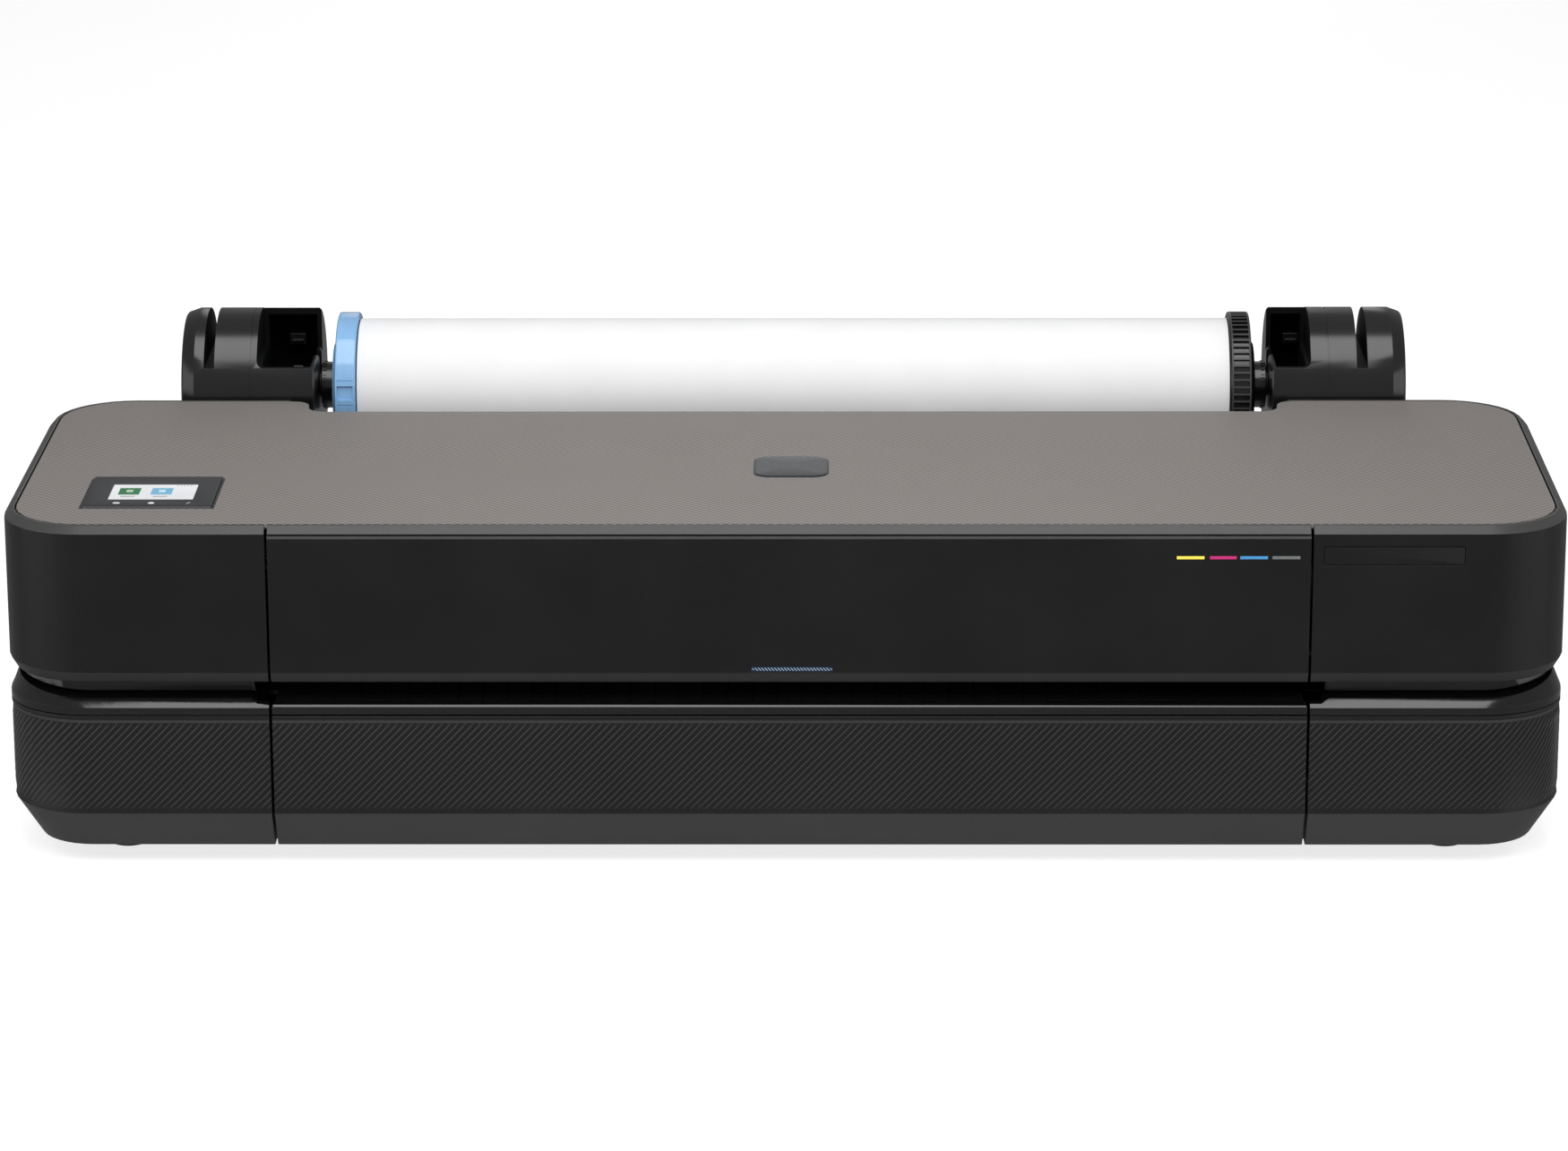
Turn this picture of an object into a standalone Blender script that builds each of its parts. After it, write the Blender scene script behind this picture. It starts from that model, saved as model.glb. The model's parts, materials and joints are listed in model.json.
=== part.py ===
"""Large format desktop plotter: covers, paper path, carriage, inks and the roll on its spindle.

Metres, +Z up. The front faces -Y and the origin is under the middle of the whole machine.
"""
import math

import bmesh
import bpy
from mathutils import Matrix, Vector

for old in list(bpy.data.objects):
    bpy.data.objects.remove(old, do_unlink=True)

# ---- Driving dimensions -------------------------------------------------------------------
WIDTH = 1.013
DEPTH = 0.440
HEIGHT = 0.285
BODY_DEPTH = 0.328
CORNER_RADIUS = 0.055
PAN_BOTTOM = 0.015            # underside of the lower covers
CHAMFER_TOP = 0.042           # where the lower chamfer meets the upright wall
CHAMFER_INSET = 0.017
LOWER_TOP = 0.1086            # top edge of the lower covers
RIB_RECESS = 0.0007           # the ribbed band lies this far behind the plain edges
LEDGE_BOTTOM = 0.1092
LEDGE_TOP = 0.1148
EXIT_TOP = 0.1304             # top of the paper exit, underside of the upper covers
STRIP_TOP = 0.1377
FACE_TOP = 0.2304
COVER_TOP = 0.2353
COVER_SHEET = 0.003
WALL = 0.0025
SEAM = 0.0016                 # visible joint between two covers
GAP = 0.0003                  # clearance between touching pieces
SHIFT = 0.003                 # the printing width and the roll sit this far right of the middle
SEAM_REACH = 0.335            # front seams, from the shifted middle
SIDE_SPLIT_Y = -0.150         # where the corner cover meets the side cover
REAR_SEAM = 0.346             # where the end covers stop at the back
RECESS_Y = 0.072              # back edge of the top cover at the paper entry
RECESS_HALF = 0.3345

ROLL_RADIUS = 0.0467
ROLL_LENGTH = 0.6096
HUB_RADIUS = 0.0512
HOLDER_RADIUS = 0.0545
ARC_STEPS = 9

HALF = WIDTH / 2
FRONT = -DEPTH / 2
REAR = DEPTH / 2
BACK = FRONT + BODY_DEPTH
ROLL_Y = REAR - HOLDER_RADIUS
ROLL_Z = HEIGHT - HOLDER_RADIUS
INSIDE = PAN_BOTTOM + WALL + GAP     # underside of the base pan
PAN_SHEET = 0.003
PAN_FLOOR = INSIDE + PAN_SHEET + GAP  # what stands on the pan starts here

# Joint axes
WINDOW_RADIUS = 0.004
WINDOW_AXIS = Vector((SHIFT, FRONT + WINDOW_RADIUS, FACE_TOP - WINDOW_RADIUS - 0.0004))
PANEL_AXIS = Vector((-0.413, -0.1705, 0.2331))
ROLL_AXIS = Vector((SHIFT, ROLL_Y, ROLL_Z))
FEED_AXIS = Vector((SHIFT, -0.022, 0.115))

# ---- Materials ----------------------------------------------------------------------------
PALETTE = {
    "black_satin": ((0.020, 0.020, 0.021), 0.45, 0.0),
    "black_fine": ((0.026, 0.026, 0.027), 0.62, 0.0),
    "black_gloss": ((0.010, 0.010, 0.011), 0.10, 0.0),
    "cover_grey": ((0.235, 0.212, 0.198), 0.60, 0.0),
    "panel_grey": ((0.060, 0.062, 0.066), 0.40, 0.0),
    "screen_glass": ((0.620, 0.640, 0.650), 0.12, 0.0),
    "light_bar": ((0.500, 0.680, 1.000), 0.20, 0.0),
    "hub_blue": ((0.300, 0.520, 0.800), 0.38, 0.0),
    "paper_white": ((0.850, 0.850, 0.840), 0.85, 0.0),
    "steel": ((0.560, 0.570, 0.580), 0.25, 1.0),
    "sheet_steel": ((0.420, 0.430, 0.440), 0.42, 1.0),
    "power_case": ((0.420, 0.430, 0.440), 0.42, 1.0),
    "rubber": ((0.030, 0.030, 0.030), 0.80, 0.0),
    "gear_white": ((0.720, 0.710, 0.670), 0.45, 0.0),
    "ink_yellow": ((0.800, 0.620, 0.050), 0.40, 0.0),
    "ink_magenta": ((0.600, 0.040, 0.260), 0.40, 0.0),
    "ink_blue": ((0.030, 0.250, 0.620), 0.40, 0.0),
    "ink_grey": ((0.120, 0.120, 0.125), 0.40, 0.0),
}

MATERIALS = {}
for label, (colour, roughness, metallic) in PALETTE.items():
    material = bpy.data.materials.new(label)
    material.use_nodes = True
    shader = material.node_tree.nodes["Principled BSDF"]
    shader.inputs["Base Color"].default_value = (*colour, 1.0)
    shader.inputs["Roughness"].default_value = roughness
    shader.inputs["Metallic"].default_value = metallic
    MATERIALS[label] = material

parts = bpy.data.collections.new("large_format_plotter")
cutters = bpy.data.collections.new("cutters")
bpy.context.scene.collection.children.link(parts)
bpy.context.scene.collection.children.link(cutters)


# ---- Modelling helpers --------------------------------------------------------------------
def add(name, mesh, material):
    """Put a mesh in the scene: a part where it has a material, a cutter where it has none."""
    obj = bpy.data.objects.new(name, mesh)
    if material is None:
        cutters.objects.link(obj)
        obj.hide_render = True
        obj.display_type = "WIRE"
    else:
        parts.objects.link(obj)
        mesh.materials.clear()
        mesh.materials.append(MATERIALS[material])
    return obj


def from_bmesh(name, shape, material):
    bmesh.ops.recalc_face_normals(shape, faces=shape.faces)
    mesh = bpy.data.meshes.new(name)
    shape.to_mesh(mesh)
    shape.free()
    return add(name, mesh, material)


def box(name, low, high, material=None, bevel=0.0):
    low = Vector(low)
    high = Vector(high)
    size = high - low
    shape = bmesh.new()
    place = Matrix.Translation((low + high) / 2) @ Matrix.Diagonal((*size, 1.0))
    bmesh.ops.create_cube(shape, size=1.0, matrix=place)
    obj = from_bmesh(name, shape, material)
    if bevel:
        rounded(obj, bevel)
    return obj


def rod(name, start, end, radius, material=None, segments=24):
    start = Vector(start)
    end = Vector(end)
    span = end - start
    turn = Vector((0, 0, 1)).rotation_difference(span).to_matrix().to_4x4()
    shape = bmesh.new()
    bmesh.ops.create_cone(shape, cap_ends=True, segments=segments, radius1=radius, radius2=radius,
                          depth=span.length, matrix=Matrix.Translation((start + end) / 2) @ turn)
    return from_bmesh(name, shape, material)


def rounded(obj, width, segments=2):
    modifier = obj.modifiers.new("round", "BEVEL")
    modifier.width = width
    modifier.segments = segments
    modifier.limit_method = "ANGLE"
    modifier.angle_limit = math.radians(40)


PLANES = {
    "X": Matrix(((0, 0, 1), (1, 0, 0), (0, 1, 0))).to_4x4(),
    "Y": Matrix(((1, 0, 0), (0, 0, -1), (0, 1, 0))).to_4x4(),
    "Z": Matrix.Identity(4),
}


def prism(name, outline, axis, low, high, material=None):
    """Flat outline, extruded along an axis: (y, z) along X, (x, z) along Y, (x, y) along Z."""
    curve = bpy.data.curves.new(name, "CURVE")
    curve.dimensions = "2D"
    curve.fill_mode = "BOTH"
    curve.extrude = (high - low) / 2
    spline = curve.splines.new("POLY")
    spline.points.add(len(outline) - 1)
    spline.use_cyclic_u = True
    for point, (u, v) in zip(spline.points, outline):
        point.co = (u, v, 0, 1)
    holder = bpy.data.objects.new(name, curve)
    bpy.context.scene.collection.objects.link(holder)
    bpy.context.view_layer.update()
    solid = holder.evaluated_get(bpy.context.evaluated_depsgraph_get())
    mesh = bpy.data.meshes.new_from_object(solid)
    bpy.data.objects.remove(holder)
    bpy.data.curves.remove(curve)
    shape = bmesh.new()
    shape.from_mesh(mesh)
    bpy.data.meshes.remove(mesh)
    bmesh.ops.remove_doubles(shape, verts=shape.verts, dist=0.00001)
    middle = (low + high) / 2
    lift = -middle if axis == "Y" else middle
    bmesh.ops.transform(shape, matrix=PLANES[axis] @ Matrix.Translation((0, 0, lift)),
                        verts=shape.verts)
    return from_bmesh(name, shape, material)


def turned(name, profile, centre, material=None, steps=36):
    """Profile of (radius, place along X), turned round a line along X through centre."""
    following = profile[1:] + profile[:1]
    area = sum(a[0] * b[1] - b[0] * a[1] for a, b in zip(profile, following))
    if area > 0:
        profile = profile[::-1]
    mesh = bpy.data.meshes.new(name)
    points = [(radius, 0, place) for radius, place in profile]
    edges = [(index, index + 1) for index in range(len(points) - 1)]
    mesh.from_pydata(points, edges, [])
    obj = add(name, mesh, material)
    obj.matrix_basis = Matrix.Translation((0, centre[1], centre[2])) @ Matrix.Rotation(math.pi / 2, 4, "Y")
    screw = obj.modifiers.new("turn", "SCREW")
    screw.axis = "Z"
    screw.steps = steps
    screw.render_steps = steps
    screw.use_merge_vertices = True
    screw.merge_threshold = 0.00001
    return obj


def ring(name, inner, outer, low, high, centre, material=None, steps=36):
    profile = [(inner, high), (outer, high), (outer, low), (inner, low), (inner, high)]
    return turned(name, profile, centre, material, steps)


def loft(name, sections, material=None):
    """Closed solid through a row of closed sections that have the same number of points."""
    shape = bmesh.new()
    rows = [[shape.verts.new(point) for point in section] for section in sections]
    count = len(rows[0])
    for before, after in zip(rows, rows[1:]):
        for index in range(count):
            following = (index + 1) % count
            shape.faces.new((before[index], before[following], after[following], after[index]))
    shape.faces.new(rows[0])
    shape.faces.new(reversed(rows[-1]))
    return from_bmesh(name, shape, material)


def combine(obj, other, operation):
    modifier = obj.modifiers.new(operation.lower(), "BOOLEAN")
    modifier.operation = operation
    modifier.solver = "EXACT"
    modifier.object = other


def cut(obj, *others):
    for other in others:
        combine(obj, other, "DIFFERENCE")


def join(obj, *others):
    for other in others:
        combine(obj, other, "UNION")


def set_origin(obj, point):
    """Move an object's origin to a world point without moving its mesh."""
    local = obj.matrix_basis.inverted() @ Vector(point)
    obj.data.transform(Matrix.Translation(-local))
    obj.location = point


def arc(centre_u, centre_v, radius, start, end, steps):
    points = []
    for step in range(steps + 1):
        angle = math.radians(start + (end - start) * step / steps)
        points.append((centre_u + radius * math.cos(angle), centre_v + radius * math.sin(angle)))
    return points


def gear_outline(teeth, module, centre_u, centre_v, phase):
    """Straight-sided teeth, with backlash, round a centre; phase is the first tooth's angle."""
    pitch = teeth * module / 2
    root = pitch - 1.25 * module
    tip = pitch + 0.85 * module
    step = 2 * math.pi / teeth
    corners = ((-0.29, root), (-0.10, tip), (0.10, tip), (0.29, root))
    points = []
    for tooth in range(teeth):
        for share, radius in corners:
            angle = math.radians(phase) + (tooth + share) * step
            points.append((centre_u + radius * math.cos(angle), centre_v + radius * math.sin(angle)))
    return points


# ---- Outline of the body's two ends -------------------------------------------------------
def corner(side, centre_y, start, end):
    """Stations round one corner, as (x, y, inward x, inward y)."""
    centre_x = HALF - CORNER_RADIUS
    stations = []
    for step in range(ARC_STEPS + 1):
        angle = math.radians(start + (end - start) * step / ARC_STEPS)
        x = centre_x + CORNER_RADIUS * math.cos(angle)
        y = centre_y + CORNER_RADIUS * math.sin(angle)
        stations.append((side * x, y, -side * math.cos(angle), -math.sin(angle)))
    return stations


def front_corner(side):
    return corner(side, FRONT + CORNER_RADIUS, -90, 0)


def rear_corner(side):
    return corner(side, BACK - CORNER_RADIUS, 0, 90)


def seam_x(side):
    """Where an end cover starts on the front, just outside the seam."""
    return SHIFT + side * (SEAM_REACH + SEAM / 2)


def section_at(station, profile):
    x, y, inward_x, inward_y = station
    return [(x + inward_x * inset, y + inward_y * inset, z) for inset, z in profile]


def sweep(name, stations, profile, material):
    return loft(name, [section_at(station, profile) for station in stations], material)


SHELF = 0.014
RIM = 0.0068
SHELF_TOP = COVER_TOP - COVER_SHEET - 0.0004
UPPER_PROFILE = [
    (0.0064, EXIT_TOP), (0.0043, EXIT_TOP), (0.0, STRIP_TOP), (0.0, FACE_TOP),
    (0.0045, COVER_TOP), (RIM, COVER_TOP), (RIM, SHELF_TOP), (SHELF, SHELF_TOP),
    (SHELF, SHELF_TOP - WALL), (WALL, SHELF_TOP - WALL), (WALL, STRIP_TOP + 0.0008),
]
LOWER_PROFILE = [
    (0.026, PAN_BOTTOM), (CHAMFER_INSET, PAN_BOTTOM), (0.0, CHAMFER_TOP), (RIB_RECESS, CHAMFER_TOP + 0.003),
    (RIB_RECESS, LOWER_TOP - 0.005), (0.0, LOWER_TOP - 0.003), (0.0, LOWER_TOP),
    (0.009, LOWER_TOP), (0.009, LOWER_TOP - WALL), (WALL, LOWER_TOP - WALL),
    (WALL, CHAMFER_TOP + 0.001), (CHAMFER_INSET + 0.0012, PAN_BOTTOM + WALL), (0.026, PAN_BOTTOM + WALL),
]


def lower_covers():
    for side, label in ((-1, "left"), (1, "right")):
        stations = [(seam_x(side), FRONT, 0, 1)] + front_corner(side) + rear_corner(side)
        stations.append((side * REAR_SEAM, BACK, 0, -1))
        sweep(f"lower_{label}_cover", stations, LOWER_PROFILE, "black_satin")
    ends = [(seam_x(side) - side * SEAM, FRONT, 0, 1) for side in (-1, 1)]
    sweep("lower_front_panel", ends, LOWER_PROFILE, "black_satin")


def upper_covers():
    for side, label in ((-1, "left"), (1, "right")):
        stations = [(seam_x(side), FRONT, 0, 1)] + front_corner(side)
        stations.append((side * HALF, SIDE_SPLIT_Y - 0.0003, -side, 0))
        sweep(f"upper_{label}_corner_cover", stations, UPPER_PROFILE, "black_fine")
        stations = [(side * HALF, SIDE_SPLIT_Y + 0.0003, -side, 0)] + rear_corner(side)
        stations.append((side * REAR_SEAM, BACK, 0, -1))
        sweep(f"upper_{label}_side_cover", stations, UPPER_PROFILE, "black_fine")


# ---- Ledge under the paper exit -----------------------------------------------------------
NARROW_LEDGE = 0.009
WIDE_LEDGE = 0.022
SIDE_LEDGE = 0.0062
LEDGE_WALL_TOP = EXIT_TOP - GAP
LEDGE_STEP_NEAR = 0.0075       # the ledge widens between these distances from the seam
LEDGE_STEP_FAR = 0.0125


def ledge_profile(inset, lip, lip_z, wall_top):
    """A glossy lip that slopes up from the outer edge, then a flat, then the wall of the recess."""
    return [
        (0.0, LEDGE_BOTTOM), (0.0, LEDGE_TOP - 0.0008), (0.0008, LEDGE_TOP), (lip, lip_z),
        (inset - 0.0002, lip_z + 0.0001), (inset, wall_top), (inset + WALL, wall_top),
        (inset + WALL, LEDGE_BOTTOM),
    ]


def blend_profiles(front, side, share):
    """Between the profile on the side, share 0, and the one on the front, share 1."""
    pairs = zip(front, side)
    return [(a * share + c * (1 - share), b * share + d * (1 - share)) for (a, b), (c, d) in pairs]


def ledges():
    low_lip = LEDGE_TOP + 0.0014
    narrow = ledge_profile(NARROW_LEDGE - WALL, 0.0022, low_lip, low_lip + 0.0001)
    wide = ledge_profile(WIDE_LEDGE, 0.0052, LEDGE_TOP + 0.0044, LEDGE_WALL_TOP)
    slope = ledge_profile(SIDE_LEDGE, 0.0055, EXIT_TOP - 0.0035, LEDGE_WALL_TOP)
    for side, label in ((-1, "left"), (1, "right")):
        start = seam_x(side)
        places = ((0.0, narrow), (LEDGE_STEP_NEAR, narrow), (LEDGE_STEP_FAR, wide))
        sections = [section_at((start + side * far, FRONT, 0, 1), shape) for far, shape in places]
        for index, station in enumerate(front_corner(side)):
            share = math.cos(math.radians(90 * index / ARC_STEPS)) ** 1.5
            sections.append(section_at(station, blend_profiles(wide, slope, share)))
        rest = rear_corner(side) + [(side * REAR_SEAM, BACK, 0, -1)]
        sections += [section_at(station, slope) for station in rest]
        loft(f"{label}_ledge", sections, "black_gloss")
    ends = [(seam_x(side) - side * SEAM, FRONT, 0, 1) for side in (-1, 1)]
    sweep("middle_ledge", ends, narrow, "black_gloss")


# ---- Back, bottom and feet ----------------------------------------------------------------
REAR_TOP = 0.188
INLET_X = -0.300
INLET_PLATE_END = -0.262      # the inlet's plate reaches from the left rear seam to here
INLET_Z = 0.062


REAR_PROFILE = [
    (0.026, PAN_BOTTOM), (CHAMFER_INSET, PAN_BOTTOM), (0.0, CHAMFER_TOP), (0.0, REAR_TOP), (WALL, REAR_TOP),
    (WALL, CHAMFER_TOP + 0.001), (CHAMFER_INSET + 0.0012, PAN_BOTTOM + WALL), (0.026, PAN_BOTTOM + WALL),
]


def rear_section(name, start, end):
    """A straight run of the rear wall between two seams."""
    return sweep(name, [(x, BACK, 0, -1) for x in (start + SEAM / 2, end - SEAM / 2)], REAR_PROFILE, "black_satin")


def rear_cover():
    rear_section("rear_cover", INLET_PLATE_END, REAR_SEAM)


def power_inlet():
    """The mains inlet, moulded into a plate of its own in the rear wall."""
    inlet = rear_section("power_inlet", -REAR_SEAM, INLET_PLATE_END)
    shroud = box("inlet_shroud", (INLET_X - 0.0136, BACK - 0.024, INLET_Z - 0.0100),
                 (INLET_X + 0.0136, BACK + 0.0012, INLET_Z + 0.0100), bevel=0.0008)
    join(inlet, shroud)
    pocket = box("inlet_pocket", (INLET_X - 0.0115, BACK - 0.016, INLET_Z - 0.0078),
                 (INLET_X + 0.0115, BACK + 0.01, INLET_Z + 0.0078))
    cut(inlet, pocket)


def rounded_outline(half_x, front, back, radius, steps=4):
    points = arc(half_x - radius, front + radius, radius, -90, 0, steps)
    points += arc(half_x - radius, back - radius, radius, 0, 90, steps)
    points += arc(radius - half_x, back - radius, radius, 90, 180, steps)
    points += arc(radius - half_x, front + radius, radius, 180, 270, steps)
    return points


def base_pan():
    inset = 0.0205
    top = 0.036
    sheet = 0.0015
    pan = prism("base_pan", rounded_outline(HALF - inset, FRONT + inset, BACK - inset, 0.034), "Z", INSIDE, top,
                "sheet_steel")
    inner = prism("pan_hollow", rounded_outline(HALF - inset - sheet, FRONT + inset + sheet,
                                                BACK - inset - sheet, 0.0325),
                  "Z", INSIDE + PAN_SHEET, top + 0.01)
    cut(pan, inner)


def feet():
    places = ((-1, -0.150, "front_left"), (1, -0.150, "front_right"),
              (-1, 0.062, "rear_left"), (1, 0.062, "rear_right"))
    for side, y, label in places:
        x = side * 0.435
        foot = rod(f"foot_{label}", (x, y, 0), (x, y, INSIDE - GAP), 0.014, "rubber", 28)
        rounded(foot, 0.0015)


# ---- Top: cover, window and its rail ------------------------------------------------------
COVER_INSET = 0.008
PANEL_LEFT = -0.4552
PANEL_RIGHT = -0.3715
PANEL_FRONT = -0.1738
PANEL_BACK = -0.0993


def top_cover():
    radius = CORNER_RADIUS - COVER_INSET
    side_x = HALF - COVER_INSET
    front = FRONT + COVER_INSET
    back = BACK - COVER_INSET
    fillet = 0.012
    shoulder = RECESS_HALF + fillet
    outline = arc(side_x - radius, front + radius, radius, -90, 0, 8)
    outline += arc(side_x - radius, back - radius, radius, 0, 90, 8)
    outline += arc(SHIFT + shoulder, back - fillet, fillet, 90, 180, 4)
    outline += arc(SHIFT + RECESS_HALF - fillet, RECESS_Y + fillet, fillet, 360, 270, 4)
    outline += arc(SHIFT - RECESS_HALF + fillet, RECESS_Y + fillet, fillet, 270, 180, 4)
    outline += arc(SHIFT - shoulder, back - fillet, fillet, 0, 90, 4)
    outline += arc(radius - side_x, back - radius, radius, 90, 180, 8)
    outline += arc(radius - side_x, front + radius, radius, 180, 270, 8)
    cover = prism("top_cover", outline, "Z", COVER_TOP - COVER_SHEET, COVER_TOP, "cover_grey")
    half = RECESS_HALF - fillet - 0.004
    lip = box("cover_lip", (SHIFT - half, RECESS_Y - 0.0035, 0.206),
              (SHIFT + half, RECESS_Y - 0.0010, COVER_TOP - 0.001))
    join(cover, lip)
    opening = box("panel_opening", (PANEL_LEFT - 0.0020, PANEL_FRONT - 0.0020, 0.22),
                  (PANEL_RIGHT + 0.0020, PANEL_BACK + 0.0020, 0.25))
    cut(cover, opening)


def window_rail():
    y, z = WINDOW_AXIS.y, WINDOW_AXIS.z
    socket = arc(y, z, WINDOW_RADIUS + 0.0004, -45, 97, 10)
    outline = [
        (FRONT, FACE_TOP), (FRONT + 0.0045, COVER_TOP), (FRONT + RIM, COVER_TOP),
        (FRONT + RIM, SHELF_TOP), (FRONT + SHELF, SHELF_TOP), (FRONT + SHELF, SHELF_TOP - 0.0030),
        (y + 0.0065, SHELF_TOP - 0.0030), (y + 0.0065, z - 0.0035),
    ] + socket
    low = seam_x(-1) + SEAM
    high = seam_x(1) - SEAM
    prism("window_rail", outline, "X", low, high, "black_fine")


LIGHT_X = 0.005
LIGHT_HALF = 0.0270
LIGHT_LOW = 0.1384
LIGHT_HIGH = 0.1420


def front_window():
    y, z = WINDOW_AXIS.y, WINDOW_AXIS.z
    bead = arc(y, z, WINDOW_RADIUS, 180, -62, 12)
    outline = [
        (FRONT + WALL, STRIP_TOP + 0.0008), (FRONT + 0.0064, EXIT_TOP), (FRONT + 0.0043, EXIT_TOP),
        (FRONT, STRIP_TOP),
    ] + bead + [(FRONT + WALL, z - 0.0040)]
    low = seam_x(-1) + SEAM
    high = seam_x(1) - SEAM
    window = prism("front_window", outline, "X", low, high, "black_fine")
    pocket = box("light_pocket", (LIGHT_X - LIGHT_HALF, FRONT - 0.01, LIGHT_LOW),
                 (LIGHT_X + LIGHT_HALF, FRONT + 0.0012, LIGHT_HIGH))
    cut(window, pocket)
    bar = box("status_light_bar", (LIGHT_X - LIGHT_HALF + GAP, FRONT + 0.0001, LIGHT_LOW + GAP),
              (LIGHT_X + LIGHT_HALF - GAP, FRONT + 0.0012 - GAP, LIGHT_HIGH - GAP), "light_bar")
    set_origin(window, WINDOW_AXIS)
    set_origin(bar, WINDOW_AXIS)


# ---- Control panel ------------------------------------------------------------------------
def control_panel():
    low_x, high_x = PANEL_LEFT, PANEL_RIGHT
    tray = box("panel_tray", (low_x - 0.0017, PANEL_FRONT - 0.0017, 0.216),
               (high_x + 0.0017, PANEL_BACK + 0.0017, COVER_TOP - 0.0002), "panel_grey")
    well = box("panel_well", (low_x - 0.0004, PANEL_FRONT - 0.0004, 0.218),
               (high_x + 0.0004, PANEL_BACK + 0.0004, 0.25))
    cut(tray, well)
    y, z = PANEL_AXIS.y, PANEL_AXIS.z
    nose = arc(y, z, 0.0031, 90, 250, 8)
    outline = nose + [(y + 0.004, 0.2292), (PANEL_BACK, 0.2292), (PANEL_BACK, 0.2350), (PANEL_BACK - 0.0012, 0.2362)]
    panel = prism("control_panel", outline, "X", low_x, high_x, "panel_grey")
    screen_low = (-0.4408, -0.1562)
    screen_high = (-0.3852, -0.1194)
    recess = box("screen_recess", (*screen_low, 0.2346), (*screen_high, 0.25))
    cut(panel, recess)
    screen = box("touch_screen", (screen_low[0] + GAP, screen_low[1] + GAP, 0.2346 + GAP),
                 (screen_high[0] - GAP, screen_high[1] - GAP, 0.2361), "screen_glass")
    set_origin(panel, PANEL_AXIS)
    set_origin(screen, PANEL_AXIS)


# ---- Paper path ---------------------------------------------------------------------------
PLATEN_TOP = 0.1254
PLATEN_BACK = -0.0365
CHEEK_X = 0.350
FEED_RADIUS = 0.011
PINCH_RADIUS = 0.005
PINCH_PLACES = (-0.240, -0.080, 0.080, 0.240)
PINCH_LENGTH = 0.040
BEAM_LOW = 0.150
BEAM_HIGH = 0.212
BEAM_FRONT = -0.024
BEAM_BACK = 0.006


def platen():
    sheet = 0.003
    bend = (-0.132, PLATEN_TOP)
    knee = (-0.192, 0.1175)
    mouth = (-0.2105, 0.1164)
    flat = [(PLATEN_BACK, PLATEN_TOP), bend, knee,
            (knee[0], knee[1] - sheet), (bend[0], bend[1] - sheet), (PLATEN_BACK, PLATEN_TOP - sheet)]
    chute = [(knee[0] + 0.002, knee[1] + 0.0001), mouth, (mouth[0], mouth[1] - sheet),
             (knee[0] + 0.002, knee[1] + 0.0001 - sheet)]
    table = prism("platen", flat, "X", SHIFT - CHEEK_X, SHIFT + CHEEK_X, "black_satin")
    join(table, prism("chute", chute, "X", SHIFT - 0.332, SHIFT + 0.332))
    for side, label in ((-1, "left"), (1, "right")):
        inner = SHIFT + side * (CHEEK_X - 0.003)
        outer = SHIFT + side * CHEEK_X
        cheek = box(f"platen_cheek_{label}", (min(inner, outer), -0.135, PAN_FLOOR),
                    (max(inner, outer), 0.000, PLATEN_TOP - 0.001))
        join(table, cheek)
    cut(table, rod("shaft_bore", (-0.4, FEED_AXIS.y, FEED_AXIS.z), (0.4, FEED_AXIS.y, FEED_AXIS.z), 0.0044))


FEED_MODULE = 0.00125
FEED_TEETH = 32
PINION_TEETH = 12
GEAR_LOW = -0.3660
GEAR_HIGH = -0.3600


def feed_drive():
    reach = CHEEK_X - 0.0036
    journal = 0.004
    profile = [
        (0.0, SHIFT + 0.358), (journal, SHIFT + 0.358), (journal, SHIFT + reach), (FEED_RADIUS, SHIFT + reach),
        (FEED_RADIUS, SHIFT - reach), (journal, SHIFT - reach), (journal, -0.3680), (0.0, -0.3680),
    ]
    turned("feed_roller", profile, FEED_AXIS, "rubber", 32)
    y, z = FEED_AXIS.y, FEED_AXIS.z
    gear = prism("feed_gear", gear_outline(FEED_TEETH, FEED_MODULE, y, z, 90), "X", GEAR_LOW, GEAR_HIGH,
                 "gear_white")
    cut(gear, rod("gear_bore", (-0.4, y, z), (-0.3, y, z), journal + GAP))
    set_origin(gear, FEED_AXIS)
    centre = (FEED_TEETH + PINION_TEETH) * FEED_MODULE / 2
    pinion_z = z - centre
    phase = 90 + 180 / PINION_TEETH
    pinion = prism("feed_pinion", gear_outline(PINION_TEETH, FEED_MODULE, y, pinion_z, phase), "X",
                   GEAR_LOW, GEAR_HIGH, "gear_white")
    shaft = rod("pinion_shaft", (GEAR_LOW - 0.010, y, pinion_z), (GEAR_HIGH - 0.001, y, pinion_z), 0.0025)
    join(pinion, shaft)
    set_origin(pinion, (GEAR_LOW, y, pinion_z))
    motor = rod("feed_motor", (-0.420, y, pinion_z), (-0.3695, y, pinion_z), 0.020, "sheet_steel", 32)
    join(motor, box("motor_foot", (-0.412, y - 0.016, PAN_FLOOR), (-0.376, y + 0.016, pinion_z)))
    cut(motor, rod("motor_bore", (-0.380, y, pinion_z), (-0.36, y, pinion_z), 0.0025 + GAP))


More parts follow.
